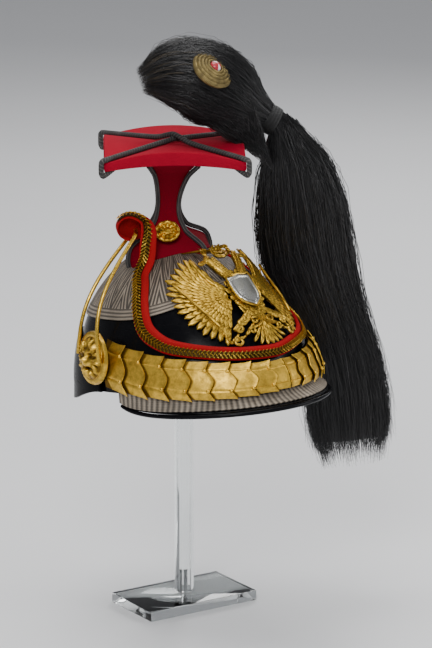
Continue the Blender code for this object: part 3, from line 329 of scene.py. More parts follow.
class Finish:
    """One material, made node by node around its own shader."""

    def __init__(self, name, **constants):
        self.material = bpy.data.materials.new(name)
        self.material.use_nodes = True
        self.tree = self.material.node_tree
        self.shader = self.tree.nodes["Principled BSDF"]
        for key, value in constants.items():
            self.feed(self.shader, key.replace("_", " ").title().replace("Ior", "IOR"), value)

    def feed(self, node, name, value):
        socket = node.inputs[name]
        if isinstance(value, Wire):
            self.tree.links.new(value.socket, socket)
        elif isinstance(value, (tuple, list)) and socket.type == "RGBA":
            socket.default_value = (*value[:3], 1.0)
        else:
            socket.default_value = value

    def node(self, kind, settings=None, inputs=None, output=0):
        """Adds a node: its settings first, then the values or links of its sockets."""
        made = self.tree.nodes.new(kind)
        for name, value in (settings or {}).items():
            if name == "stops":
                self.set_stops(made.color_ramp, value)
            else:
                setattr(made, name, value)
        for name, value in (inputs or {}).items():
            self.feed(made, name, value)
        return Wire(self, made.outputs[output])

    def set_stops(self, ramp, stops):
        while len(ramp.elements) < len(stops):
            ramp.elements.new(1.0)
        for element, (place, colour) in zip(ramp.elements, stops):
            element.position = place
            element.color = (*colour[:3], 1.0)

    def maths(self, operation, *values):
        return self.node("ShaderNodeMath", {"operation": operation}, dict(enumerate(values)))

    def place(self, output):
        """Object coordinates, or the piece's own UV map."""
        return self.node("ShaderNodeTexCoord", output=output)

    def uv(self):
        """The two numbers of the piece's UV map: across it and along it."""
        split = self.tree.nodes.new("ShaderNodeSeparateXYZ")
        self.feed(split, 0, self.place("UV"))
        return Wire(self, split.outputs[0]), Wire(self, split.outputs[1])

    def noise(self, scale, detail=3.0, roughness=0.6, stretch=None):
        vector = self.place("Object")
        if stretch:
            vector = self.node("ShaderNodeMapping", inputs={0: vector, "Scale": stretch})
        inputs = {"Vector": vector, "Scale": scale, "Detail": detail, "Roughness": roughness}
        return self.node("ShaderNodeTexNoise", inputs=inputs)

    def mix(self, share, first, second):
        settings = {"data_type": "RGBA"}
        return self.node("ShaderNodeMix", settings, {0: share, 6: first, 7: second}, output=2)

    def ramp(self, value, stops):
        return self.node("ShaderNodeValToRGB", {"stops": stops}, {0: value})

    def spread(self, value, low, high, to_low=0.0, to_high=1.0):
        """Stretches a range of values over another one, clamped."""
        inputs = {0: value, 1: low, 2: high, 3: to_low, 4: to_high}
        return self.node("ShaderNodeMapRange", {"clamp": True}, inputs)

    def bump(self, height, distance, strength=1.0):
        inputs = {"Height": height, "Distance": distance, "Strength": strength}
        self.feed(self.shader, "Normal", self.node("ShaderNodeBump", inputs=inputs))

    def set(self, name, value):
        self.feed(self.shader, name, value)


def select_only(*pieces):
    bpy.ops.object.select_all(action="DESELECT")
    for piece in pieces:
        piece.select_set(True)
    bpy.context.view_layer.objects.active = pieces[0]


def named(piece, name):
    piece.name = name
    piece.data.name = name
    return piece


def fresh(add, name, **settings):
    """Adds an object with one of Blender's own operators, and names it."""
    bpy.ops.object.select_all(action="DESELECT")
    add(**settings)
    return named(bpy.context.object, name)


def modify(piece, kind, **settings):
    """Adds a modifier with its settings and applies it."""
    step = piece.modifiers.new(kind.title(), kind)
    for name, value in settings.items():
        setattr(step, name, value)
    select_only(piece)
    bpy.ops.object.modifier_apply(modifier=step.name)
    return piece


def wall(piece, thickness, inward=False):
    offset = -1.0 if inward else 1.0
    return modify(piece, "SOLIDIFY", thickness=thickness, offset=offset, use_even_offset=True)


def weld(piece, flip=False):
    """Merges a piece's seam points and poles, and turns its faces outwards."""
    select_only(piece)
    bpy.ops.object.mode_set(mode="EDIT")
    bpy.ops.mesh.select_all(action="SELECT")
    bpy.ops.mesh.remove_doubles(threshold=2e-6)
    if flip:
        bpy.ops.mesh.normals_make_consistent(inside=False)
    bpy.ops.object.mode_set(mode="OBJECT")
    return piece


def sheet(name, columns, rows, place):
    """A grid whose points go to place(across, along), both from 0 to 1, which its UV map keeps."""
    cells = {"x_subdivisions": columns, "y_subdivisions": rows}
    piece = fresh(bpy.ops.mesh.primitive_grid_add, name, size=2.0, **cells)
    for corner in piece.data.vertices:
        corner.co = place((corner.co.x + 1) / 2, (corner.co.y + 1) / 2)
    return piece


def joined(name, pieces):
    select_only(*pieces)
    if len(pieces) > 1:
        bpy.ops.object.join()
    return named(pieces[0], name)


def copies(name, base, places):
    """One mesh of copies of a piece, one at each matrix. The piece itself is used up."""
    mesh = base.data
    points = np.empty(len(mesh.vertices) * 3)
    mesh.vertices.foreach_get("co", points)
    points = points.reshape(-1, 3)
    faces = [tuple(face.vertices) for face in mesh.polygons]
    corners = []
    rings = []
    for number, matrix in enumerate(places):
        turn = np.array(matrix)
        corners.append(points @ turn[:3, :3].T + turn[:3, 3])
        shift = number * len(points)
        rings += [tuple(index + shift for index in face) for face in faces]
    made = bpy.data.meshes.new(name)
    made.from_pydata(np.concatenate(corners).tolist(), [], rings)
    bpy.data.objects.remove(base, do_unlink=True)
    piece = bpy.data.objects.new(name, made)
    bpy.context.scene.collection.objects.link(piece)
    return piece


def dress(piece, finish, nodes=(), angle=40):
    """Smooths a finished piece, gives it its finish, and puts it in the place of its CAD nodes."""
    select_only(piece)
    bpy.ops.object.shade_smooth_by_angle(angle=math.radians(angle))
    piece.data.materials.clear()
    piece.data.materials.append(finish.material)
    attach(piece, "root")
    if nodes:
        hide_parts(*nodes)
    return piece


def along_frames(points):
    """Each point with two directions square to the route, which turn as little as they can."""
    last = len(points) - 1
    found = []
    side = None
    for index, point in enumerate(points):
        ahead = points[min(index + 1, last)] - points[max(index - 1, 0)]
        if ahead.length < 1e-9:
            ahead = points[min(index + 2, last)] - points[max(index - 2, 0)]
        ahead.normalize()
        if side is None:
            side = ahead.orthogonal().normalized()
        side = (side - ahead * side.dot(ahead)).normalized()
        found.append((point, side, ahead.cross(side)))
    return found


def tube(name, points, sides, radius):
    """A closed body along a route. radius(share, angle) is its reach there."""
    route = [points[0]] + list(points) + [points[-1]]
    frames = along_frames(route)
    last = len(route) - 1

    def place(across, along):
        index = round(along * last)
        point, side, lift = frames[index]
        if index in (0, last):
            return point
        angle = math.tau * across
        reach = radius((index - 1) / (last - 2), angle)
        return point + (side * math.cos(angle) + lift * math.sin(angle)) * reach

    return weld(sheet(name, sides, last, place))


def rope(name, points, radius, strands, pitch, sides=20, groove=0.26):
    """A twisted cord along a route."""
    length = sum((b - a).length for a, b in zip(points, points[1:]))

    def reach(share, angle):
        turn = angle * strands / 2 - math.pi * strands * share * length / pitch
        return radius * (1 - groove + groove * abs(math.cos(turn)))

    return tube(name, points, sides, reach)


def turned(name, profile, sides, relief=None):
    """A turned body. The profile's (radius, height) points run from the axis up and back to the axis."""
    last = len(profile) - 1

    def place(across, along):
        radius, height = profile[round(along * last)]
        angle = math.tau * across
        if relief and radius > 0:
            radius, height = relief(radius, height, angle)
        return Vector((radius * math.cos(angle), radius * math.sin(angle), height))

    return weld(sheet(name, sides, last, place), flip=True)


def stand_up(piece, middle, facing, spin=0.0):
    """Moves a piece's mesh so that its base is at a point and its axis along a direction."""
    turn = track(facing.normalized()).to_4x4()
    piece.data.transform(Matrix.Translation(middle) @ turn @ Matrix.Rotation(spin, 4, "Z"))
    return piece


def resampled(points, spacing):
    """The same route with points an even distance apart."""
    found = [points[0]]
    left = spacing
    for first, second in zip(points, points[1:]):
        step = second - first
        done = 0.0
        while step.length - done >= left:
            done += left
            found.append(first + step * (done / step.length))
            left = spacing
        left -= step.length - done
    found.append(points[-1])
    return found


def track(facing):
    """A turn from the Z axis to a direction."""
    return facing.to_track_quat("Z", "Y").to_matrix()


def held(value):
    """The value, kept between 0 and 1."""
    return min(max(value, 0.0), 1.0)


def arched(value):
    """A quarter circle's height, 1 at 0 and 0 from 1 on, where the value is the squared way out."""
    return math.sqrt(max(1 - value, 0.0))


def bell(value, middle, width):
    return math.exp(-(((value - middle) / width) ** 2))


def spread(first, last, count):
    return [first + (last - first) * step / (count - 1) for step in range(count)]


def ease(value):
    value = held(value)
    return value * value * (3 - 2 * value)


def blend(start, leaving, end, arriving, share):
    """A point on the way from a start to an end, which leaves and arrives along two directions."""
    return (
        start * (2 * share**3 - 3 * share**2 + 1)
        + leaving * (share**3 - 2 * share**2 + share)
        + end * (3 * share**2 - 2 * share**3)
        + arriving * (share**3 - share**2)
    )


def smooth(points, steps):
    """Points along a smooth curve through the given vectors."""
    found = []
    last = len(points) - 1
    for index in range(last):
        before = points[max(index - 1, 0)]
        here = points[index]
        there = points[index + 1]
        beyond = points[min(index + 2, last)]
        for step in range(steps):
            found.append(blend(here, (there - before) * 0.5, there, (beyond - here) * 0.5, step / steps))
    found.append(points[-1])
    return found


def cap_axes():
    """The cap's own up and forward directions."""
    up = Vector((0, math.sin(RIM_TILT), math.cos(RIM_TILT)))
    forward = Vector((0, -math.cos(RIM_TILT), math.sin(RIM_TILT)))
    return up, forward


def skull_share(height):
    """What is left of the rim's size at a height above the rim."""
    rise = held(height / SKULL_HEIGHT)
    return (1 - rise**SKULL_SHAPE) ** (1 / SKULL_SHAPE)


def skull_middle(height):
    up, forward = cap_axes()
    rim = Vector((0, -RIM_FORWARD, RIM_HEIGHT))
    return rim + up * height - forward * CROWN_LEAN * max(height, 0.0)


def on_face(angle, height):
    forward = cap_axes()[1]
    share = skull_share(height)
    side = Vector((math.sin(angle) * RIM_HALF_WIDTH * share, 0, 0))
    return skull_middle(height) + side + forward * math.cos(angle) * RIM_HALF_LENGTH * share


def skull_normal(angle, height):
    turn = math.radians(1)
    lift = SKULL_HEIGHT * 0.004
    level = min(max(height, 0.0), SKULL_HEIGHT - 3 * lift)
    round_it = on_face(angle + turn, level) - on_face(angle - turn, level)
    up_it = on_face(angle, level + lift) - on_face(angle, max(level - lift, 0.0))
    return round_it.cross(up_it).normalized()


def on_skull(angle, height, out=0.0):
    """A point by the skull: turned from the front to the wearer's left, up from the rim, and out from it."""
    return on_face(angle, height) + skull_normal(angle, height) * out


def crown():
    return skull_middle(SKULL_HEIGHT)


def outside_skull(point, clearance):
    """Whether a point is outside the skull by a distance."""
    up, forward = cap_axes()
    rise = (point - skull_middle(0.0)).dot(up)
    off = point - skull_middle(rise)
    level = max(rise, 0.0) / (SKULL_HEIGHT + clearance)
    along = off.dot(forward) / (RIM_HALF_LENGTH + clearance)
    across = off.x / (RIM_HALF_WIDTH + clearance)
    round_share = math.hypot(along, across)
    return round_share**SKULL_SHAPE + level**SKULL_SHAPE > 1.0


def visor_drop(turn):
    fade = arched((abs(turn) / VISOR_FADE) ** 8)
    return VISOR_ROOT + VISOR_DROP * fade + VISOR_FRONT_DROP * math.cos(turn) ** 2


def visor_reach(turn):
    return VISOR_REACH * math.cos(turn) ** 2


def on_visor(turn, share, above=0.0):
    """A point on the visor's underside, or above it, from its root to its edge."""

    def base(at_turn, at_share):
        out = SEAT_GAP + visor_reach(at_turn) * at_share**VISOR_CURL
        return on_skull(at_turn, VISOR_ROOT - visor_drop(at_turn) * at_share, out)

    step = 0.01
    across = base(turn + step, share) - base(turn - step, share)
    down = base(turn, min(share + step, 1.0)) - base(turn, max(share - step, 0.0))
    return base(turn, share) - across.cross(down).normalized() * above


def visor_face(turn, height):
    """How far out the laced visor stands at a height above the rim."""
    drop = visor_drop(turn)
    share = held((VISOR_ROOT - height) / drop)
    slope = visor_reach(turn) * VISOR_CURL * share ** (VISOR_CURL - 1) / drop
    thick = (VISOR_WALL + SEAT_GAP + VISOR_LACE_WALL) * math.hypot(1.0, slope)
    return SEAT_GAP + visor_reach(turn) * share**VISOR_CURL + thick


def strap_edges(turn):
    """The strap's lower and upper edge, as heights above the rim."""
    side = abs(turn) / BOSS_ANGLE
    middle = STRAP_FRONT_HEIGHT + STRAP_SIDE_RISE * side**2.2
    half = (STRAP_FRONT_WIDTH + (STRAP_SIDE_WIDTH - STRAP_FRONT_WIDTH) * side) / 2
    return middle - half, middle + half


def on_strap(turn, share, out):
    """A point by the strap, which leans out at its lower edge to clear the visor."""
    low, high = strap_edges(turn)
    low_out = max(STRAP_OUT, visor_face(turn, low) + SEAT_GAP)
    return on_skull(turn, low + (high - low) * share, low_out + (STRAP_OUT - low_out) * share + out)


def boss_profile():
    """Heights of the boss's face by radius, both as shares of its radius, from its rim to its middle."""
    rim = ((1.0, 0.04), (0.97, 0.14), (0.88, 0.17), (0.80, 0.15))
    return (*rim, (0.62, 0.30), (0.36, 0.42), (0.0, 0.45))


def boss_face(share):
    rows = boss_profile()
    for (outer, low), (inner, high) in zip(rows, rows[1:]):
        if inner <= share <= outer:
            return BOSS_RADIUS * (high + (low - high) * (share - inner) / (outer - inner))
    return 0.0


def boss_seat(side):
    turn = side * BOSS_ANGLE
    facing = skull_normal(turn, BOSS_HEIGHT)
    facing = (facing - cap_axes()[0] * facing.dot(cap_axes()[0]) * 0.7).normalized()
    return on_skull(turn, BOSS_HEIGHT), Matrix.Rotation(side * -BOSS_TURN, 3, "Z") @ facing


def waist_middle(rise):
    """The middle of the waist at a share of its height."""
    top = board_under()
    low = crown() - UP * WAIST_SINK
    return low + (top - low) * rise + Vector((0, WAIST_BOW * math.sin(math.pi * rise), 0))


def board_under():
    """The middle of the top board's underside."""
    return crown() + Vector((0, -BOARD_FORWARD, WAIST_RISE))


def waist_point(rise, corner):
    """A point on the waist's outside. Corner 0 is the front one, 1 the wearer's left one."""
    turn = corner * math.pi / 2
    off = abs(math.remainder(turn, math.pi / 2))
    reach, hollow = waist_row(rise)
    reach *= WAIST_REACH * (1 - hollow * math.sin(2 * off) ** 2) / (math.cos(off) + math.sin(off))
    heading = turn - math.pi / 2 + BOARD_TURN * rise
    return waist_middle(rise) + Vector((math.cos(heading), math.sin(heading), 0)) * reach


def board_axes():
    """The board's two edge directions, to the wearer's front left and back left."""
    turn = BOARD_TURN - math.pi / 4
    return Vector((math.cos(turn), math.sin(turn), 0)), Vector((-math.sin(turn), math.cos(turn), 0))


def on_board(across, along, height, beyond=0.0):
    """A point by the board, from shares of its half side and a height above its underside."""
    one, two = board_axes()
    half = BOARD_REACH / math.sqrt(2) + beyond
    return board_under() + one * across * half + two * along * half + UP * height


def board_low(across, along):
    spread_out = max(abs(across), abs(along))
    lift = ease((spread_out - 0.5) / 0.5)
    return BOARD_EDGE_LIFT * lift * (1 - (across * along) ** 2)


def board_high(across, along):
    most, least = max(abs(across), abs(along)), min(abs(across), abs(along))
    fold = least * least / most if most else 0.0
    return BOARD_THICKNESS + BOARD_EDGE_RISE * most - BOARD_DROOP * fold


def diagonal_route(side, hump):
    """A cord from under one corner, over the board and under the opposite corner."""
    stand = TOP_CORD_RADIUS + 2 * GAP
    outward = (on_board(1.0, side, 0.0) - board_under()).normalized()
    low, high = board_low(1.0, side), board_high(1.0, side)
    reach = stand + BOARD_BULGE * 1.5
    half = [on_board(0.86, side * 0.86, low - stand)]
    for turn, level in ((-80, low), (-40, low), (0, low), (0, high), (40, high), (80, high)):
        angle = math.radians(turn)
        half.append(on_board(1.0, side, level + stand * math.sin(angle)) + outward * reach * math.cos(angle))
    for share in (0.85, 0.5, 0.28, 0.17, 0.08, 0.0):
        lift = stand + hump * math.exp(-((share / 0.16) ** 2))
        half.append(on_board(share, side * share, board_high(share, share) + lift))
    middle = board_under()
    mirrored = []
    for point in half[-2::-1]:
        off = point - middle
        mirrored.append(middle + Vector((-off.x, -off.y, off.z)))
    return half + mirrored


def curl_middle():
    return crown() + Vector(CURL_FROM_CROWN)


def on_eagle(out, up, above):
    """A point on the eagle plate, bent round the skull's front. Out and up are lengths on the flat plate."""
    share = up / EAGLE_TALL
    height = EAGLE_LOW + EAGLE_RISE * share
    lift = EAGLE_OUT + EAGLE_LIFT * ease((share - 0.55) / 0.45)
    radius = RIM_HALF_LENGTH * skull_share(min(height, SKULL_HEIGHT * 0.72))
    steep = SKULL_HEIGHT * 0.86
    return on_skull(out / radius, min(height, steep), lift + above) + UP * max(height - steep, 0.0)


def eagle_relief(out, up):
    """The cast plate's rise over its flat ground."""
    body = math.exp(-((out / 0.016) ** 2) - ((up - SHIELD_MIDDLE) / 0.026) ** 2)
    head = math.exp(-(((abs(out) - 0.015) / 0.006) ** 2) - ((up - 0.083) / 0.006) ** 2)
    return EAGLE_BODY_RELIEF * max(body, head * 0.7)


def plume_place(out, side, up):
    """A point by the plume: out from the board's side, to its near side, and up from its underside."""
    outward = board_axes()[0]
    nearby = -board_axes()[1]
    return board_under() + outward * (BOARD_REACH / math.sqrt(2) + out) + nearby * side + UP * up


def stand_head_low():
    """Where the stand's head begins, under the crown."""
    return crown().z - SKULL_WALL - STAND_HEAD_DEPTH


# Angles in degrees up to which the edges of rounded pieces and of hair are smoothed.
SLOPE = 60
HAIR_SLOPE = 180
LACE_TEETH = 24
LACE_FIELD = 0.17
LACE_BORDERS = 3
VISOR_RIBS = 66
SCALE_TONGUE = 0.27
SCALE_RAISED = 0.0011
SCALE_CREASE = 0.0007
SCALE_DOME = 0.0005
SCALE_ROLL = 0.0006
SCALE_TIP_LIFT = 0.0022
SCALE_FLARE = 0.10
RIVET_RADIUS = 0.0016
RIVET_LIFT = 0.0041
BOSS_BEAD = 0.00025
BOSS_BEADS = 44
MASK_SHARE = 0.8
BUTTON_FOOT = 0.0012
CHAIN_PITCH = 0.0027
CHAIN_CURL_END = 0.0112
CHAIN_OFF_MIDDLE = 0.8
LINK_RADIUS = 0.0019
LINK_WIRE = 0.00054
LINK_STRETCH = 1.30
LINK_SQUEEZE = 0.20
LINK_LIFT = 0.0020
LINK_ROW = 0.0045
# The curl's lining: its half width and height, its folds, how far it is behind, its hollow, and its wall.
CURL_LINING = {
    "wide": 0.0124,
    "tall": 0.0100,
    "fold": 0.0012,
    "back": 0.0085,
    "hollow": 0.0030,
    "wall": 0.0012,
}
LACE_UNDER_CLOTH = 0.0045
# The lion mask's bumps, as shares of the boss's radius: out from the middle line, up, their size and rise.
LION_MASK = table(
    "out up wide tall rise",
    (0.0, -0.19, 0.20, 0.14, 0.55),
    (0.0, -0.03, 0.10, 0.08, 0.45),
    (0.0, 0.15, 0.09, 0.20, 0.35),
    (0.20, 0.12, 0.08, 0.05, -0.30),
    (0.20, 0.25, 0.14, 0.06, 0.32),
    (0.27, -0.10, 0.13, 0.15, 0.28),
    (0.43, 0.43, 0.09, 0.10, 0.35),
    (0.0, -0.35, 0.17, 0.04, -0.55),
    (0.0, -0.47, 0.12, 0.07, 0.30),
)


def tint(name, share=1.0):
    """One of the sidebar's colours, darkened or lightened by a share."""
    return tuple(value * share for value in getattr(bpy.context.scene.cap_looks, name))


def gilt_finish(name, dark=0.35, roughness=0.3, barbs=0.0, recess_shade=0.0):
    """Gilt brass, brown in random stains and in painted shade. Barbs slant off a leaf's middle and paint shade
    into their grooves and along its edges; a recess shade weight paints shade where the UV map's second number
    is low.
    """
    gilt = Finish(name, metallic=1.0)
    stain_and_shade = gilt.spread(gilt.noise(140.0, 5.0, 0.7), 0.40, 0.66)
    fine = gilt.noise(1400.0, 2.0)
    hammered = gilt.noise(420.0, 3.0)
    rubbed = gilt.mix(fine * 0.5, tint("gilt"), tint("gilt", 1.12))
    height = fine * 0.5 + hammered
    if barbs:
        across, along = gilt.uv()
        slant = (gilt.maths("ABSOLUTE", across - 0.5) * 1.1 + along * 3.4).fract()
        groove = gilt.spread(gilt.maths("ABSOLUTE", slant - 0.5), 0.0, 0.3)
        height = height + groove * barbs
        # Painted shade: darker in the barbs' grooves and along the leaf's edges, where leaves lie over each
        # other.
        edge = gilt.spread(gilt.maths("ABSOLUTE", across - 0.5), 0.34, 0.49)
        stain_and_shade = (stain_and_shade * 0.6 + (1.0 - groove) * 0.7 + edge).clamp()
    if recess_shade:
        across, along = gilt.uv()
        # Painted shade where the UV map's second number is low.
        stain_and_shade = (stain_and_shade * 0.6 + gilt.spread(along, 0.0, 0.3, recess_shade, 0.0)).clamp()
    gilt.set("Base Color", gilt.mix(stain_and_shade * dark, rubbed, tint("gilt_shadow")))
    gilt.set("Roughness", (roughness + 0.16 * stain_and_shade + 0.1 * fine).clamp())
    gilt.bump(height, 0.00014)
    return gilt


def leather_finish(name, shine=0.09):
    """Black lacquer over leather, with faint dust, scratches and a soft ripple."""
    leather = Finish(name, specular_ior_level=shine)
    dust = leather.spread(leather.noise(30.0, 6.0, 0.7), 0.45, 0.75)
    scratch = leather.spread(leather.noise(60.0, 4.0, 0.6, stretch=(1.0, 1.0, 14.0)), 0.60, 0.72)
    leather.set("Base Color", leather.mix(dust * 0.5, (0.003, 0.003, 0.004), (0.010, 0.010, 0.011)))
    leather.set("Roughness", (0.20 + 0.14 * dust + 0.2 * scratch).clamp())
    leather.bump(leather.noise(45.0, 2.0) + leather.noise(900.0, 2.0) * 0.04, 0.00030, 0.5)
    return leather


def cloth_finish(name, colour):
    """Felted wool with a short pile."""
    cloth = Finish(name, roughness=1.0, specular_ior_level=0.1)
    fibre = cloth.noise(2600.0, 4.0, 0.75)
    worn = cloth.spread(cloth.noise(55.0, 5.0, 0.65), 0.35, 0.7)
    dark = tuple(value * 0.6 for value in colour)
    tone = cloth.mix(worn * 0.6, colour, tuple(value * 0.74 for value in colour))
    cloth.set("Base Color", cloth.mix(cloth.spread(fibre, 0.35, 0.65), dark, tone))
    cloth.bump(fibre + cloth.noise(700.0, 3.0) * 0.6, 0.00028, 0.7)
    return cloth


def lace_finish(name, teeth, first_line):
    """Woven silver-grey lace: a zigzag of nested hatching over line borders, in the piece's own UV map."""
    lace = Finish(name, metallic=0.2, roughness=0.6)
    across, along = lace.uv()
    field = lace.spread(along, first_line, 0.95)
    tooth = (across * teeth).tent()
    off = field - tooth
    nested = (off * math.pi * 6.0).wave()
    upright = (across * teeth * 8.0 * math.pi).wave()
    floats = {"data_type": "FLOAT"}
    hatch = lace.node("ShaderNodeMix", floats, {0: off > 0.0, 2: nested, 3: upright * 0.3 + nested * 0.7})
    outline = lace.spread(lace.maths("ABSOLUTE", off), 0.03, 0.12)
    hatch = lace.spread(hatch, 0.25, 0.7) * outline
    border = (along * LACE_BORDERS / first_line * math.pi * 2.0).wave()
    in_border = ((along < first_line) + (along > 0.97)).clamp()
    height = lace.node("ShaderNodeMix", floats, {0: in_border, 2: hatch, 3: border})
    thread = lace.noise(2200.0, 3.0)
    twill = ((across * teeth * 30.0 + along * 60.0) * math.pi).wave()
    age = lace.spread(lace.noise(38.0, 5.0, 0.65), 0.35, 0.7)
    light = lace.mix(age, tint("lace"), tint("lace", 0.62))
    shade = (height * 0.8 + thread * 0.35 + twill * 0.1 - 0.1).clamp()
    lace.set("Base Color", lace.mix(shade, tint("lace", 0.07), light))
    lace.bump(height + thread * 0.3 + twill * 0.2, 0.0005, 1.0)
    return lace


def ribbed_lace_finish(name, ribs):
    """The visor's lace: threads across it, crossed by a few faint lines."""
    lace = Finish(name, metallic=0.2, roughness=0.6)
    across, along = lace.uv()
    drift = lace.noise(14.0, 2.0) * 0.02
    rib = ((across + drift) * ribs * math.pi * 2.0).wave()
    cross = (along * 7.0 * math.pi * 2.0).wave()
    thread = lace.noise(2200.0, 3.0)
    age = lace.spread(lace.noise(45.0, 5.0, 0.65), 0.35, 0.7)
    light = lace.mix(age, tint("lace", 1.1), tint("lace", 0.6))
    shade = (rib * 0.8 + cross * 0.1 + thread * 0.3 - 0.1).clamp()
    lace.set("Base Color", lace.mix(shade, tint("lace", 0.14), light))
    lace.bump(rib * 0.6 + cross * 0.25 + thread * 0.3, 0.0005, 1.0)
    return lace


def cord_finish(name, light, turns, strands):
    """Fine twisted cord, dark with a few paler threads, which follow its own UV map."""
    cord = Finish(name, roughness=0.75, specular_ior_level=0.3)
    across, along = cord.uv()
    strand = (across * strands + along * turns * strands).fract()
    pale = cord.spread(strand, 0.62, 0.9)
    thread = (strand * 8.0 * math.pi).wave()
    worn = cord.spread(cord.noise(60.0, 4.0), 0.5, 0.75)
    tone = cord.mix((pale * 0.55 + worn * 0.25).clamp(), tint("cord"), light)
    cord.set("Base Color", cord.mix(thread * 0.35, tone, tint("cord", 0.3)))
    cord.bump(thread + cord.noise(2600.0, 2.0) * 0.6, 0.00018, 0.8)
    return cord


def hair_finish(name):
    """Black horsehair, each strand a little browner or paler than the next; the paler strands are painted
    sheen.
    """
    hair = Finish(name, specular_ior_level=0.6)
    tone = hair.uv()[0]
    hair.set("Base Color", hair.ramp(tone, ((0.45, (0.002, 0.002, 0.0025)), (1.0, tint("hair")))))
    hair.set("Roughness", (0.42 - 0.2 * tone).clamp())
    return hair


def silver_finish(name):
    silver = Finish(name, metallic=1.0)
    tarnish = silver.spread(silver.noise(120.0, 5.0, 0.7), 0.4, 0.7)
    silver.set("Base Color", silver.mix(tarnish * 0.7, (0.78, 0.77, 0.72), (0.30, 0.29, 0.22)))
    silver.set("Roughness", 0.2 + 0.25 * tarnish)
    silver.bump(silver.noise(500.0, 3.0), 0.0001)
    return silver


def acrylic_finish(name):
    """Clear acrylic with polished faces and faint dust."""
    clear = Finish(name, transmission_weight=1.0, ior=1.49)
    dust = clear.spread(clear.noise(70.0, 5.0, 0.7), 0.5, 0.8)
    clear.set("Base Color", clear.mix(dust, (0.93, 0.96, 0.955), (0.86, 0.89, 0.885)))
    clear.set("Roughness", 0.015 + 0.05 * dust)
    return clear


def steel_finish(name):
    steel = Finish(name, metallic=1.0)
    brushed = steel.noise(900.0, 3.0, stretch=(1.0, 1.0, 0.1))
    steel.set("Base Color", steel.mix(brushed, (0.45, 0.45, 0.47), (0.65, 0.65, 0.66)))
    steel.set("Roughness", 0.25 + 0.2 * brushed)
    return steel


def iron_finish(name):
    iron = Finish(name, metallic=0.6)
    worn = iron.spread(iron.noise(300.0, 4.0), 0.5, 0.75)
    iron.set("Base Color", iron.mix(worn, (0.012, 0.012, 0.012), (0.06, 0.055, 0.05)))
    iron.set("Roughness", 0.4 + 0.2 * worn)
    return iron


def bullion_finish(name, ribs):
    """Gold thread wound round the cockade's rings."""
    thread = Finish(name, metallic=0.75)
    across = thread.uv()[0]
    wound = (across * ribs * math.pi * 2.0).wave()
    age = thread.spread(thread.noise(200.0, 4.0), 0.35, 0.7)
    tone = thread.mix(age, tint("bullion"), tint("bullion", 0.35))
    thread.set("Base Color", thread.mix(wound * 0.6, tone, (0.05, 0.035, 0.012)))
    thread.set("Roughness", 0.4 + 0.2 * age)
    thread.bump(wound, 0.0002, 0.8)
    return thread


def centre_finish(name):
    """The cockade's red centre with a white bar across it."""
    centre = Finish(name, roughness=0.35, coat_weight=0.3)
    across = centre.uv()[0]
    bar = centre.maths("ABSOLUTE", (across * 2.0).fract() - 0.5) < 0.11
    grain = centre.noise(900.0, 2.0)
    red = centre.mix(grain, (0.55, 0.03, 0.05), (0.35, 0.02, 0.03))
    centre.set("Base Color", centre.mix(bar, red, (0.82, 0.78, 0.78)))
    centre.bump(grain, 0.0001, 0.5)
    return centre


def skull_form(name, thickness, across_cells, up_cells, low, high):
    """A finer skull wall between two climbs along its curve, closed at the crown."""

    def place(across, along):
        climb = low + (high - low) * along
        height = SKULL_HEIGHT * math.sin(climb) ** (2 / SKULL_SHAPE)
        return on_skull(math.tau * across, height) if along < 1 else crown()

    return wall(weld(sheet(name, across_cells, up_cells, place)), thickness, inward=True)


def build_leather():
    leather = leather_finish("lacquered_leather")
    skull = skull_form("skull_leather", SKULL_WALL, 144, 34, 0.0, math.radians(88))
    dress(skull, leather, ["skull"], SLOPE)

    def guard(across, along):
        turn = GUARD_START + (math.tau - 2 * GUARD_START) * across
        full = ease((math.pi - abs(turn - math.pi) - GUARD_START) / (GUARD_FULL - GUARD_START))
        low = -GUARD_DROP * full
        high = GUARD_SIDE_TOP + (GUARD_TOP - GUARD_SIDE_TOP) * full
        flare = GUARD_FLARE * full * (1 - along) ** 2
        return on_skull(turn, low + (high - low) * along, SEAT_GAP + flare)

    piece = wall(sheet("neck_guard_leather", 96, 14, guard), GUARD_WALL)
    piece = modify(piece, "BEVEL", width=0.0005, segments=2)
    dress(piece, leather_finish("guard_leather", 0.02), ["neck_guard"])

    def visor(across, along):
        return on_visor(VISOR_END * (2 * across - 1), 1 - along)

    piece = wall(sheet("visor_leather", 140, 12, visor), VISOR_WALL)
    dress(piece, leather, ["visor"])
    edge = []
    for turn in spread(-VISOR_END, VISOR_END, 120):
        rim = on_visor(turn, 1.0, VISOR_WALL / 2)
        outward = (rim - on_visor(turn, 0.96, VISOR_WALL / 2)).normalized()
        edge.append(rim + outward * (BINDING_RADIUS + SEAT_GAP / 2))
    piece = tube("visor_binding_leather", edge, 14, lambda share, angle: BINDING_RADIUS)
    dress(piece, leather, ["visor_binding"])

    def strap(across, along):
        return on_strap(STRAP_END * (2 * across - 1), along, 0.0)

    piece = wall(sheet("strap_leather", 120, 6, strap), STRAP_WALL)
    dress(piece, leather, ["strap"])


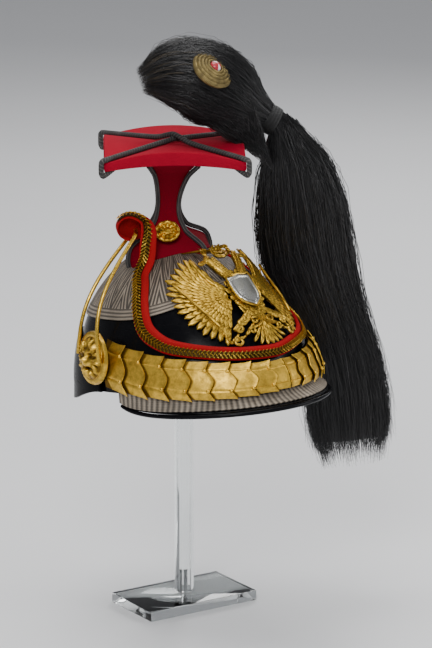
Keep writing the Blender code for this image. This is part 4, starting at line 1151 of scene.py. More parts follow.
def build_lace():
    def band(across, along):
        turn = math.tau * across
        low = LACE_LOW + LACE_FRONT_RISE * max(math.cos(turn), 0.0) ** 2
        high = LACE_TOP + LACE_UNDER_CLOTH
        relief = 0.0
        if along < LACE_FIELD:
            relief = 0.0003 * abs(math.sin(math.pi * LACE_BORDERS * along / LACE_FIELD))
        return on_skull(turn, low + (high - low) * along, SEAT_GAP + relief)

    piece = wall(weld(sheet("lace_band_woven", 216, 40, band)), LACE_WALL - 0.0003)
    dress(piece, lace_finish("silver_lace", LACE_TEETH, LACE_FIELD), ["lace_band"])
    above = VISOR_WALL + SEAT_GAP

    def visor(across, along):
        share = VISOR_LACE_SHARE + (0.05 - VISOR_LACE_SHARE) * along
        rib = 0.00016 * math.cos(math.tau * across * VISOR_RIBS)
        return on_visor(VISOR_END * (2 * across - 1), share, above + rib)

    piece = wall(sheet("visor_lace_woven", VISOR_RIBS * 6, 9, visor), VISOR_LACE_WALL)
    dress(piece, ribbed_lace_finish("visor_lace", VISOR_RIBS), ["visor_lace"])


def scale_tip(share):
    """How far a scale's end reaches: a broad tongue between two lobes, pointed at the strap's edges."""
    off = abs(share - 0.5)
    if off < SCALE_TONGUE:
        return 1.15 - 0.95 * (off / SCALE_TONGUE) ** 1.5
    return 0.20 + 0.80 * ((off - SCALE_TONGUE) / (0.5 - SCALE_TONGUE)) ** 0.9


def scale_form(name, side, index):
    """One scale: a raised middle between two sloped sides, with its lobed end lifted over the next one."""
    middle = math.radians(0.3)
    pitch = (STRAP_END - middle) / SCALES_PER_SIDE
    lobe = SCALE_LOBE / RIM_HALF_LENGTH
    root = STRAP_END - pitch * index + (pitch * 0.1 if index else 0.0)
    end = STRAP_END - pitch * (index + 1)
    last = index == SCALES_PER_SIDE - 1
    base = STRAP_WALL + SEAT_GAP + 0.0003

    def spot(across, along):
        share = across if side < 0 else 1 - across
        reach = 0.0 if last else lobe * scale_tip(share)
        return share, root + (end - reach - root) * along

    def place(across, along):
        share, turn = spot(across, along)
        off = abs(share - 0.5)
        flat = SCALE_RAISED * (ease((0.5 - off) / (0.5 - SCALE_TONGUE)) if off > SCALE_TONGUE else 1.0)
        crease = SCALE_CREASE * bell(off, SCALE_TONGUE, 0.025)
        dome = SCALE_DOME * bell(off, 0.0, 0.16)
        rolled = SCALE_ROLL * bell(along, 1.0, 0.05)
        lift = base + SCALE_TIP_LIFT * along**1.4 + flat + dome - crease + rolled
        flare = 1 + SCALE_FLARE * along**3
        return on_strap(side * turn, 0.5 + (share - 0.5) * flare, lift)

    piece = sheet(name, 34, 16, place)
    # The UV map's second number runs from the edge of the scale before, so that the gilt paints shade just past
    # that overlapping edge.
    for corner in piece.data.uv_layers.active.data:
        across, along = corner.uv
        share, turn = spot(across, along)
        past = STRAP_END - pitch * index - lobe * scale_tip(share) - turn
        corner.uv = (across, held(past / (pitch * 0.5)))
    return piece


def build_scales():
    # The scales' gilt paints shade along the edge of each scale that lies over the next.
    gilt = gilt_finish("gilt_scales", 0.9, 0.38, recess_shade=1.3)
    rivet_gilt = gilt_finish("gilt_rivets", 0.3, 0.25)
    for name, side in (("right", -1), ("left", 1)):
        pieces = [scale_form("scale", side, index) for index in range(SCALES_PER_SIDE)]
        piece = wall(weld(joined("scales_%s_plates" % name, pieces)), 0.0006, inward=True)
        dress(piece, gilt, ["scales_" + name], 35)
        pitch = STRAP_END / SCALES_PER_SIDE
        places = []
        for index in range(1, SCALES_PER_SIDE):
            turn = side * (STRAP_END - pitch * index - 0.04 * SCALE_LOBE / RIM_HALF_LENGTH)
            for share in (0.5 - SCALE_TONGUE, 0.5 + SCALE_TONGUE):
                low = on_strap(turn, share, STRAP_WALL + SEAT_GAP)
                facing = (on_strap(turn, share, STRAP_WALL + 0.004) - low).normalized()
                places.append(Matrix.Translation(low + facing * RIVET_LIFT) @ track(facing).to_4x4())
        ball = {"segments": 14, "ring_count": 8, "radius": RIVET_RADIUS}
        rivet = fresh(bpy.ops.mesh.primitive_uv_sphere_add, "rivet", **ball)
        rivets = copies("scale_rivets_" + name, rivet, places)
        dress(rivets, rivet_gilt, [], SLOPE)


def mask_height(across, up):
    """The lion mask's relief, from shares of the boss's radius."""
    found = 0.0
    for row in LION_MASK:
        for mirror in (-1, 1) if row["out"] else (1,):
            off = (across - mirror * row["out"]) / row["wide"]
            found += row["rise"] * math.exp(-off * off - ((up - row["up"]) / row["tall"]) ** 2)
    reach = math.hypot(across, up)
    angle = math.atan2(up, across)
    curl = math.sin(angle * 13 + 7 * reach) * 0.6 + math.sin(angle * 21 - 9 * reach) * 0.4
    mane = bell(reach, 0.60, 0.18)
    return found + 0.24 * mane * (1 + curl)


def build_bosses():
    # The bosses' gilt paints shade in the lion masks' recesses.
    gilt = gilt_finish("gilt_bosses", 0.9, 0.28, recess_shade=1.0)
    for name, side in (("right", -1), ("left", 1)):
        seat, facing = boss_seat(side)
        foot = SEAT_GAP + GAP - BOSS_OUT
        profile = [(0.0, foot), (BOSS_SHANK, foot), (BOSS_SHANK, 0.0), (BOSS_RADIUS, 0.0)]
        profile += [(BOSS_RADIUS * share, BOSS_RADIUS * height) for share, height in boss_profile()[:4]]
        profile += [(BOSS_RADIUS * share, BOSS_RADIUS * 0.16) for share in spread(0.79, 0.0, 34)]

        def relief(radius, height, angle):
            share = radius / BOSS_RADIUS
            below = height < BOSS_RADIUS * 0.1
            if below or share > 0.795:
                bead = 0.0 if below or share <= 0.9 else BOSS_BEAD * math.cos(angle * BOSS_BEADS)
                return radius, height + bead
            dome = 0.17 * (1 - (share / MASK_SHARE) ** 2)
            shape = mask_height(share * math.cos(angle), share * math.sin(angle))
            return radius, height + BOSS_RADIUS * (dome + 0.34 * shape * (1 - bell(share, MASK_SHARE, 0.06)))

        piece = turned("boss_%s_lion" % name, profile, 132, relief)
        # The UV map's second number is the lion mask's height, 0.6 off the mask, so that the gilt paints shade
        # in the mask's recesses.
        for corner, point in zip(piece.data.loops, piece.data.uv_layers.active.data):
            spot = piece.data.vertices[corner.vertex_index].co / BOSS_RADIUS
            on_mask = math.hypot(spot.x, spot.y) < MASK_SHARE
            point.uv = (0.5, held(mask_height(spot.x, spot.y) if on_mask else 0.6))
        up = cap_axes()[0]
        turn = track(facing)
        spin = math.atan2(turn.col[1].dot(up), turn.col[0].dot(up)) - math.pi / 2
        stand_up(piece, seat + facing * BOSS_OUT, facing, spin)
        dress(piece, gilt, ["boss_" + name], 50)


def waist_foot(corner):
    """How far up the waist's face leaves the laced skull."""
    low, high = WAIST_ROWS[0]["rise"], 0.5
    while high - low > WAIST_FOOT_STEP:
        middle = (low + high) / 2
        if outside_skull(waist_point(middle, corner), SEAT_GAP + LACE_WALL + GAP):
            high = middle
        else:
            low = middle
    return high


def build_waist():
    # The waist's cloth is a darker copy of the board's red, painted shade under the board.
    cloth = cloth_finish("waist_cloth", tint("shaded_waist_cloth"))
    lows = {}

    def place(across, along):
        corner = 4 * across
        if corner not in lows:
            lows[corner] = waist_foot(corner)
        low = lows[corner]
        return waist_point(low + (0.995 - low) * along, corner)

    piece = wall(weld(sheet("waist_cloth_cover", 96, 56, place)), WAIST_WALL, inward=True)
    dress(piece, cloth, ["waist"], SLOPE)


def waist_row(rise):
    """The waist's reach and hollow there, from a smooth curve through its rows."""
    rows = WAIST_ROWS
    for index, (low, high) in enumerate(zip(rows, rows[1:])):
        if rise <= high["rise"]:
            break
    before, beyond = rows[max(index - 1, 0)], rows[min(index + 2, len(rows) - 1)]
    span = high["rise"] - low["rise"]
    share = held((rise - low["rise"]) / span)
    found = []
    for key in ("reach", "hollow"):
        start = (high[key] - before[key]) / (high["rise"] - before["rise"]) * span
        finish = (beyond[key] - low[key]) / (beyond["rise"] - low["rise"]) * span
        found.append(blend(low[key], start, high[key], finish, share))
    return found


def build_waist_cords():
    clear = SEAT_GAP + LACE_WALL + WAIST_CORD_RADIUS + GAP
    finish = cord_finish("waist_cord", tint("cord_light"), 0, 5)
    for index, name in enumerate(("front", "left", "back", "right")):
        outward = (waist_point(0.5, index) - waist_middle(0.5)).normalized()
        points = []
        for rise in spread(0.985, WAIST_ROWS[0]["rise"] + 0.01, 60):
            along = (waist_point(rise + 0.02, index) - waist_point(rise - 0.02, index)).normalized()
            square = (outward - along * outward.dot(along)).normalized()
            point = waist_point(rise, index) + square * (WAIST_CORD_RADIUS + GAP)
            if outside_skull(point, clear):
                points.append(point)
        route = resampled(points, 0.0006)
        piece = rope("waist_cord_%s_twisted" % name, route, WAIST_CORD_RADIUS, 2, 0.006, groove=0.03)
        dress(piece, finish, ["waist_cord_" + name], SLOPE)


def build_board():
    cloth = cloth_finish("board_cloth", tint("cloth"))
    cells = 56

    def top(across, along):
        a, b = 2 * across - 1, 2 * along - 1
        return on_board(a, b, board_high(a, b))

    def under(across, along):
        a, b = 1 - 2 * across, 2 * along - 1
        return on_board(a, b, board_low(a, b))

    lid = sheet("board_lid", cells, cells, top)
    floor = sheet("board_floor", cells, cells, under)
    corners = ((-1, -1), (1, -1), (1, 1), (-1, 1))

    def edge(across, along):
        spot = across * 4
        step = min(int(spot), 3)
        share = spot - step
        first, second = corners[step], corners[(step + 1) % 4]
        a = first[0] + (second[0] - first[0]) * share
        b = first[1] + (second[1] - first[1]) * share
        low, high = board_low(a, b), board_high(a, b)
        out = BOARD_BULGE * math.sin(math.pi * along)
        return on_board(a, b, low + (high - low) * along, out)

    rim = sheet("board_rim_cover", cells * 4, 10, edge)
    piece = weld(joined("top_board_cover", [lid, floor, rim]), flip=True)
    piece = modify(piece, "BEVEL", width=0.0011, segments=3, angle_limit=math.radians(50))
    dress(piece, cloth, ["top_board"], SLOPE)


def build_top_cords():
    finish = cord_finish("top_cord", tint("cord_light"), 40, 2)
    pieces = []
    for side, hump in ((1, 0.0), (-1, TOP_CORD_RADIUS * 1.7)):
        rows = diagonal_route(side, hump)
        tuck = UP * TOP_CORD_RADIUS * 2.2
        rows = [rows[0] + tuck] + rows[1:-1] + [rows[-1] + tuck]
        route = resampled(smooth(rows, 12), 0.0007)
        pieces.append(rope("top_cord", route, TOP_CORD_RADIUS, 2, 0.0055, groove=0.04))
    piece = joined("top_cords_twisted", pieces)
    dress(piece, finish, ["top_cords"], SLOPE)


def build_button():
    gilt = gilt_finish("gilt_button", 0.75, 0.35)
    corner = -0.5
    seat = waist_point(BUTTON_SHARE, corner)
    along = waist_point(BUTTON_SHARE, corner + 0.1) - waist_point(BUTTON_SHARE, corner - 0.1)
    up_it = waist_point(BUTTON_SHARE + 0.03, corner) - waist_point(BUTTON_SHARE - 0.03, corner)
    facing = along.cross(up_it).normalized()
    facing = (facing - UP * facing.z * 0.4).normalized()
    back = BUTTON_BACK
    shank = BUTTON_RADIUS * 0.22
    profile = [(0.0, BUTTON_FOOT), (shank, BUTTON_FOOT), (shank, back), (BUTTON_RADIUS, back)]
    profile += [(BUTTON_RADIUS * 1.04, back + BUTTON_RADIUS * 0.10)]
    profile += [(BUTTON_RADIUS * share, back + BUTTON_RADIUS * 0.2) for share in spread(1.0, 0.0, 22)]

    def relief(radius, height, angle):
        share = radius / BUTTON_RADIUS
        if height < back + BUTTON_RADIUS * 0.15:
            return radius, height
        petal = abs(math.sin(angle * 5)) ** 0.7
        ring = 0.10 * bell(share, 0.88, 0.1) * petal + 0.16 * bell(share, 0.55, 0.16) * petal
        heart = 0.30 * bell(share, 0.0, 0.22) - 0.10 * bell(share, 0.72, 0.05)
        return radius * (0.96 + 0.06 * petal * share), height + BUTTON_RADIUS * (ring + heart)

    piece = turned("waist_button_rosette", profile, 90, relief)
    dress(stand_up(piece, seat, facing), gilt, ["waist_button"], 50)


def band_frames(spacing):
    """The chain band's points, facings, sideways directions, half widths and directions, evenly spaced."""
    places, facings, widths = [], [], []
    for row in CHAIN_ON_SKULL:
        turn = math.radians(row["turn"])
        places.append(on_skull(turn, row["height"] * SKULL_HEIGHT, CHAIN_OUT))
        facings.append(skull_normal(turn, row["height"] * SKULL_HEIGHT))
        widths.append(Vector((row["wide"], 0, 0)))
    along, across = Vector(CURL_ALONG), Vector(CURL_ACROSS)
    for row in CHAIN_CURL:
        places.append(curl_middle() + along * row["along"] + across * row["across"] + UP * row["up"])
        facing = row["faces"]
        facings.append((along * facing[0] + across * facing[1] + UP * facing[2]).normalized())
        widths.append(Vector((CURL_WIDE, 0, 0)))
    points, ways, wides = (smooth(rows, 24) for rows in (places, facings, widths))
    frames = []
    gone = spacing
    last = len(points) - 1
    for index, point in enumerate(points):
        gone += (point - points[index - 1]).length if index else 0.0
        if gone < spacing and index < last:
            continue
        gone = 0.0
        ahead = (points[min(index + 1, last)] - points[max(index - 1, 0)]).normalized()
        facing = (ways[index] - ahead * ways[index].dot(ahead)).normalized()
        half = wides[index].x * CHAIN_BACKING_WIDTH / 2
        frames.append((point, facing, ahead.cross(facing), half, ahead))
    return frames


def build_chain():
    frames = band_frames(0.0012)
    last = len(frames) + 1
    half_wall = CHAIN_BACKING_WALL / 2

    def backing(across, along):
        index = round(along * last)
        point, facing, side, half = frames[min(max(index - 1, 0), last - 2)][:4]
        if index in (0, last):
            return point
        angle = -math.tau * across
        out = math.cos(angle)
        roll = 1 + 0.9 * ease((out - 0.15) / 0.5)
        rise = math.sin(angle) * half_wall * roll
        return point + side * out * half + facing * rise

    piece = weld(sheet("chain_backing_roll", 28, last, backing))
    dress(piece, cloth_finish("band_cloth", tint("band")), ["chain_backing"], SLOPE)
    places = []
    pitch = band_frames(CHAIN_PITCH)
    for point, facing, side, half, ahead in pitch:
        if (point - curl_middle()).dot(Vector(CURL_ALONG)) < -CHAIN_CURL_END and places:
            break
        edge = half * CHAIN_SHARE
        middle = -half * (1 - CHAIN_SHARE) * CHAIN_OFF_MIDDLE
        for row in (-1, 1):
            centre = point + side * (middle + row * edge * 0.42) + facing * (half_wall + LINK_LIFT)
            centre += ahead * (CHAIN_PITCH / 2 if row > 0 else 0.0)
            length = (side * 0.80 - ahead * row * 0.6).normalized()
            slope = (facing + side * row * 0.2 + ahead * 0.25).normalized()
            wide = slope.cross(length).normalized()
            slope = length.cross(wide)
            size = 0.92 * edge / LINK_ROW
            matrix = Matrix((length * size, wide, slope)).transposed().to_4x4()
            places.append(Matrix.Translation(centre) @ matrix)
    ring = {"major_segments": 14, "minor_segments": 6, "major_radius": LINK_RADIUS, "minor_radius": LINK_WIRE}
    link = fresh(bpy.ops.mesh.primitive_torus_add, "link", **ring)
    link.data.transform(Matrix.Diagonal((LINK_STRETCH, LINK_SQUEEZE, 1.0, 1.0)))
    piece = copies("chain_links_curb", link, places)
    dress(piece, gilt_finish("gilt_chain", 0.5, 0.25), ["chain_links"], SLOPE)

    # A dark sheet under the links paints shadow into the gaps between them; it reaches as far along the band as
    # the links do.
    shadow_last = round((last - 2) * len(places) / (2 * len(pitch)))

    def shadow(across, along):
        index = round(along * shadow_last)
        point, facing, side, half = frames[index][:4]
        edge = half * CHAIN_SHARE * 0.80
        middle = -half * (1 - CHAIN_SHARE) * CHAIN_OFF_MIDDLE
        return point + side * (middle + edge * (1 - 2 * across)) + facing * (half_wall + 0.0009)

    piece = wall(sheet("chain_links_core", 4, shadow_last, shadow), 0.0006)
    shadow_finish = Finish("dark_gilt", metallic=0.9, roughness=0.6, base_color=(0.05, 0.028, 0.006))
    dress(piece, shadow_finish, [], SLOPE)
    build_curl_lining()


def build_curl_lining():
    """The band's rolled end, which closes the far side of its curl."""
    along_it, across_it = Vector(CURL_ALONG), Vector(CURL_ACROSS)

    def place(across, along):
        angle = math.tau * across
        reach = 1 - along
        out = CURL_LINING["wide"] * reach * math.cos(angle) - 0.0012
        up = CURL_LINING["tall"] * reach * math.sin(angle) + 0.0008
        fold = CURL_LINING["fold"] * math.sin(3 * angle + 5 * reach) * reach
        deep = -CURL_LINING["back"] - CURL_LINING["hollow"] * (1 - reach**2) + fold
        return curl_middle() + along_it * out + UP * up + across_it * deep

    piece = wall(weld(sheet("chain_backing_curl", 40, 12, place)), CURL_LINING["wall"])
    # Its cloth is the band's red at 0.55, painted shade inside the curl.
    dress(piece, cloth_finish("curl_cloth", tint("band", 0.55)), [], SLOPE)


def build_bail():
    """The wire bail from the right boss up into the chain band's curl."""
    seat, facing = boss_seat(-1)
    backward = UP.cross(facing).normalized() * -1
    face = BOSS_OUT + boss_face(HOOK_FOOT_SPREAD / 2 / BOSS_RADIUS) + HOOK_RADIUS + SEAT_GAP
    curl = Vector(CURL_ACROSS)
    top = curl_middle() + Vector(CURL_ALONG) * HOOK_TOP[0] + UP * HOOK_TOP[2] + curl * HOOK_TOP[1]
    legs = []
    for side in (-1, 1):
        foot = seat + facing * face + backward * side * HOOK_FOOT_SPREAD / 2
        head = top - curl * side * HOOK_SPREAD / 2
        bow = [Vector((-HOOK_BOW * math.sin(math.pi * share), 0, 0)) for share in spread(0.0, 1.0, 24)]
        legs.append([foot.lerp(head, share) + out for share, out in zip(spread(0.0, 1.0, 24), bow)])
    across = (legs[1][-1] - legs[0][-1]) / 2
    middle = (legs[0][-1] + legs[1][-1]) / 2
    arch = []
    for turn in range(165, 0, -15):
        angle = math.radians(turn)
        arch.append(middle + across * math.cos(angle) + UP * 0.002 * math.sin(angle))
    route = legs[0] + arch + legs[1][::-1]

    def reach(share, angle):
        return HOOK_RADIUS * (1.0 + 0.12 * bell(share, 0.0, 0.02) + 0.12 * bell(share, 1.0, 0.02))

    piece = tube("chain_bail_wire", route, 14, reach)
    dress(piece, gilt_finish("gilt_wire", 0.25, 0.2), ["chain_hook"], SLOPE)


def leaf(root, tip, wide, level, rise, bend=0.0, narrow=0.4, cells=(6, 10)):
    """A domed leaf on the eagle's plan, in millimetres, rounded at its tip and grooved down its middle."""
    along_it = Vector(tip) - Vector(root)
    square = Vector((along_it.y, -along_it.x)).normalized()

    def place(across, along):
        side = 2 * across - 1
        half = wide * (narrow + (1 - narrow) * ease(along / 0.6))
        blunt = min(0.28, 1.3 * wide / along_it.length)
        half *= arched((max(along - 1 + blunt, 0.0) / blunt) ** 2)
        spot = Vector(root) + along_it * along + square * (bend * math.sin(math.pi * along) + side * half)
        dome = rise * math.sqrt(1 - side * side * 0.92) * (0.55 + 0.45 * along)
        vein = rise * 0.4 * bell(side, 0.0, 0.2) * (1 - along)
        return on_eagle(spot.x / 1000, spot.y / 1000, (level + dome - vein) / 1000)

    return sheet("leaf", *cells, place)


def knob(middle, wide, tall, level, rise):
    """A domed oval on the eagle's plan."""

    def place(across, along):
        angle = math.tau * across
        out = middle[0] + wide * (1 - along) * math.cos(angle)
        up = middle[1] + tall * (1 - along) * math.sin(angle)
        return on_eagle(out / 1000, up / 1000, (level + rise * math.sqrt(1 - (1 - along) ** 2)) / 1000)

    return sheet("knob", 18, 6, place)


def raised_line(spots, radius, level, sides=8):
    """A round bar along points of the eagle's plan."""
    points = [Vector((out, up, 0)) for out, up in spots]
    if len(points) > 2:
        points = smooth(points, 6)
    route = [on_eagle(point.x / 1000, point.y / 1000, level / 1000) for point in points]
    return tube("raised_line", route, sides, lambda share, angle: radius / 1000)


def scroll(middle, radius, start, turns, side):
    spots = []
    for share in spread(0.0, 1.0, 14):
        angle = math.radians(start) + side * turns * math.tau * share
        reach = radius * (1 - 0.72 * share)
        spots.append((middle[0] + reach * math.cos(angle), middle[1] + reach * math.sin(angle)))
    return spots


def wing_leaves(side):
    """The wing's rows of feathers, fanned from the shoulder."""
    found = []
    root = (EAGLE_ROOT_OUT * EAGLE_TALL * 1000, EAGLE_ROOT_UP * EAGLE_TALL * 1000)
    for row in WING_ROWS:
        for index in range(row["count"]):
            share = (index + row["shift"]) / (row["count"] - 1 + 2 * row["shift"])
            angle = EAGLE_FAN_START + math.radians(5) - (EAGLE_FAN_TURN + math.radians(12)) * share
            reach = EAGLE_TALL * 1000 * (EAGLE_REACH - 0.05 * math.sin(angle))
            reach *= 1 + 0.025 * math.sin(2.6 * index + row["count"])
            way = (math.cos(angle), math.sin(angle))
            inner, outer = reach * row["start"], reach * row["end"]
            tip = (side * (root[0] + way[0] * outer), root[1] + way[1] * outer)
            foot = (side * (root[0] + way[0] * inner), root[1] + way[1] * inner)
            found.append(leaf(foot, tip, row["wide"], row["level"], row["rise"], side * -1.0))
    return found


WING_ROWS = table(
    "count shift start end wide level rise",
    (17, 0.0, 0.42, 1.01, 2.5, 0.9, 1.2),
    (17, 0.5, 0.30, 0.85, 2.3, 1.4, 1.0),
    (19, 0.0, 0.20, 0.66, 1.8, 1.9, 0.9),
    (15, 0.5, 0.12, 0.46, 1.6, 2.3, 0.9),
    (9, 0.0, 0.05, 0.28, 1.6, 2.6, 0.9),
)
# Leaves of the eagle's one half, in millimetres on its plan: root, tip, half width, level and rise.
EAGLE_LEAVES = (
    ((23, 64), (37, 90), 3.0, 1.6, 1.6),
    ((20, 62), (30, 80), 2.4, 2.4, 1.4),
    ((14, 58), (25, 69), 3.0, 2.4, 1.6),
    ((20, 88.5), (31, 84.5), 1.9, 2.6, 1.6),
    ((17, 91), (14, 97), 1.4, 2.2, 1.2),
    ((17, 91), (17.5, 98), 1.4, 2.4, 1.2),
    ((17, 91), (21, 97), 1.4, 2.2, 1.2),
    ((3, 89), (8.5, 96.5), 2.0, 1.8, 1.3),
    ((2, 89), (4.5, 99.5), 2.0, 2.0, 1.3),
    ((8, 36), (20, 24), 4.2, 2.2, 2.0),
    ((14, 31), (27, 21), 3.4, 2.6, 1.8),
    ((20, 27), (33, 15), 2.6, 2.2, 1.6),
    ((1, 20), (6.5, -5.5), 2.0, 2.2, 1.5),
    ((2, 20), (13, -4), 1.9, 2.0, 1.5),
    ((3, 21), (19, 0), 1.8, 1.8, 1.5),
    ((6, 26), (24, 9), 1.9, 1.6, 1.5),
    ((30, 12), (39, 4), 1.9, 1.6, 1.4),
    ((24, 9), (33, 6.5), 1.7, 1.6, 1.4),
)


# Round bars of the eagle's one half, on the same plan: radius, level, sides, and the points they run through.
EAGLE_BARS = table(
    "radius level sides spots",
    (3.4, 1.6, 14, ((4, 62), (8, 72), (14, 80), (18, 87))),
    (1.2, 4.8, 8, ((58, 70), (51, 45), (44, 21))),
    (1.5, 2.8, 8, ((25, 66), (31, 77), (37, 89))),
    (1.4, 2.6, 8, ((12, 30), (19, 22), (27, 21), (33, 16))),
    (1.3, 2.8, 8, ((2, 27), (3, 20), (9, 17), (15, 16))),
)
# Scrolls of the eagle's one half: middle, radius, start in degrees, turns and way, and the bar's own.
EAGLE_SCROLLS = table(
    "middle reach start turns way radius level",
    ((28, 17), 4.6, 90, 1.1, 1, 1.3, 2.2),
    ((16, 12.5), 4.0, 200, 1.1, 1, 1.1, 3.0),
    ((8.5, 23), 4.2, 20, 1.0, -1, 1.2, 3.0),
    ((34, 3), 4.6, 60, 1.1, 1, 1.3, 2.0),
)


def build_eagle():
    leaves = [leaf((0, 90), (0, 100), 2.2, 2.2, 1.3), leaf((0, 25), (0, -6), 3.0, 2.2, 1.8)]
    leaves.append(knob((0, 49), 15.5, 27, 0.9, 2.4))
    lines = []
    for side in (-1, 1):
        leaves += wing_leaves(side)
        for root, tip, *form in EAGLE_LEAVES:
            leaves.append(leaf((side * root[0], root[1]), (side * tip[0], tip[1]), *form, side * 0.8))
        for row in range(9):
            up = 70 - row * 5.5
            for step in range(4):
                out = (step + (0.5 if row % 2 else 0.0)) * 4.4
                if out > 14 * arched(((up - 50) / 29) ** 2):
                    continue
                lift = 0.9 + 2.1 * arched((out / 16) ** 2 + ((up - 49) / 29) ** 2)
                tip = (side * out * 1.06, up - 3.6)
                leaves.append(leaf((side * out, up + 3), tip, 2.3, lift, 0.9, cells=(6, 7)))
        for step in range(8):
            angle = math.radians(80 - 22 * step)
            out, up = 14.5 * math.cos(angle), 54 + 17.5 * math.sin(angle)
            root = (side * out * 0.8, 54 + (up - 54) * 0.8)
            tip = (side * out * 1.32, 54 + (up - 54) * 1.3)
            leaves.append(leaf(root, tip, 2.7, 2.5, 1.3, cells=(6, 8)))
        leaves.append(knob((side * 19, 88), 4.3, 3.9, 2.2, 2.0))
        leaves.append(knob((side * 20.5, 89), 0.8, 0.8, 4.0, 0.6))
        for share in spread(0.0, 1.0, 9):
            out, up = 3 + 13 * share, 62 + 23 * share
            for step in (-1, 0, 1):
                foot = (side * (out + 2.6 * step), up + 2.4 - 1.4 * step)
                tip = (side * (out + 3.1 * step - 1.4), up - 3.0 - 1.4 * step)
                leaves.append(leaf(foot, tip, 1.6, 4.8 - 1.1 * abs(step), 0.9, cells=(6, 7)))
        for row in EAGLE_BARS:
            spots = [(side * out, up) for out, up in row["spots"]]
            lines.append(raised_line(spots, row["radius"], row["level"], row["sides"]))
        for row in EAGLE_SCROLLS:
            middle = (side * row["middle"][0], row["middle"][1])
            spots = scroll(middle, row["reach"], row["start"], row["turns"], side * row["way"])
            lines.append(raised_line(spots, row["radius"], row["level"]))
        for share in spread(0.0, 1.0, 5):
            leaves.append(knob((side * (44 - 4 * share), 18 - 15 * share), 1.7, 1.9, 1.8, 1.8))
        for out, up in ((8.5, 97.5), (4.5, 100.5), (31, 77), (56, 67)):
            leaves.append(knob((side * out, up), 1.2, 1.2, 2.0, 1.6))
    lines.append(raised_line([(-8.5, 90.5), (0, 88.5), (8.5, 90.5)], 1.5, 2.6))
    lines.append(raised_line([(-8, 93), (0, 91), (8, 93)], 0.7, 3.6))
    piece = wall(joined("eagle_leaves", leaves), 0.0013, inward=True)
    piece = joined("eagle_relief", [piece] + lines)
    # The barbs paint shade in their grooves and along each leaf's edges.
    gilt = gilt_finish("gilt_eagle", 0.85, 0.3, 0.9)
    dress(piece, gilt, ["eagle_plate"], 50)
    outline = SHIELD_HALF[::-1] + tuple((-x, y) for x, y in SHIELD_HALF[1:])
    wide, tall = SHIELD_WIDTH / 2, SHIELD_TALL / 2
    count = len(outline) - 1

    def face(across, along):
        spot = across * count * 0.999999
        step = int(spot)
        share = spot - step
        x = (outline[step][0] * (1 - share) + outline[step + 1][0] * share) * (1 - along)
        y = (outline[step][1] * (1 - share) + outline[step + 1][1] * share) * (1 - along)
        out, up = x * wide, SHIELD_MIDDLE + y * tall
        border = 0.0006 * ease((0.2 - along) / 0.08) - 0.0004 * bell(along, 0.0, 0.03)
        level = EAGLE_WALL + SEAT_GAP + SHIELD_WALL + eagle_relief(out, up)
        return on_eagle(out, up, level + border)

    piece = wall(weld(sheet("eagle_shield_face", 72, 22, face)), SHIELD_WALL, inward=True)
    dress(piece, silver_finish("silver"), ["eagle_shield"], 50)
    wide, tall = wide + SHIELD_FRAME, tall + SHIELD_FRAME
    spots = [(x * wide * 1000, (SHIELD_MIDDLE + y * tall) * 1000) for x, y in outline]
    dress(raised_line(spots, 1.0, 5.2), gilt)


def plume_curve(rows, width_key, count):
    """The plume's middle line, sideways directions and half sizes, as arrays from its first row on."""
    middles = smooth([plume_place(row["out"], row.get("side", 0.0), row["up"]) for row in rows], 8)
    sizes = smooth([Vector((row[width_key], row["deep"], 0)) * PLUME_SIZE for row in rows], 8)
    line = np.array([tuple(point) for point in middles])
    size = np.array([tuple(point) for point in sizes])
    length = np.concatenate([[0.0], np.cumsum(np.linalg.norm(np.diff(line, axis=0), axis=1))])
    share = length / length[-1]
    even = np.linspace(0.0, 1.0, count)
    line = np.stack([np.interp(even, share, line[:, axis]) for axis in range(3)], axis=1)
    size = np.stack([np.interp(even, share, size[:, axis]) for axis in range(2)], axis=1)
    near = np.array(tuple(-board_axes()[1]))
    side = np.cross(np.gradient(line, axis=0), near)
    side /= np.linalg.norm(side, axis=1)[:, None]
    return line, side, near, size, length[-1]


# The plume's hair: its random seed, its fringe, and points along its middle line.
HAIR_SEED = 7
FRINGE_HAIRS = 150
FLOW_STEPS = 200
DROOP_HAIRS = 1500
HEAD_CLUMP = 0.28
TAIL_CLUMP = 0.19
HAIR_SWAY = 0.0030


def plume_core(name, rows, width_key, shrink):
    """The hair's dense inside, below its loose strands."""
    steps = 48
    line, side, near, size = plume_curve(rows, width_key, steps + 1)[:4]

    def place(across, along):
        index = min(round(along * steps), steps - 2)
        angle = math.tau * across
        groove = shrink * (1 + 0.05 * math.sin(23 * angle) + 0.03 * math.sin(41 * angle))
        if along in (0.0, 1.0):
            groove = 0.0
        point = line[index] + side[index] * math.cos(angle) * size[index, 0] * groove
        return Vector(point + near * math.sin(angle) * size[index, 1] * groove)

    return weld(sheet(name, 96, steps, place), flip=True)


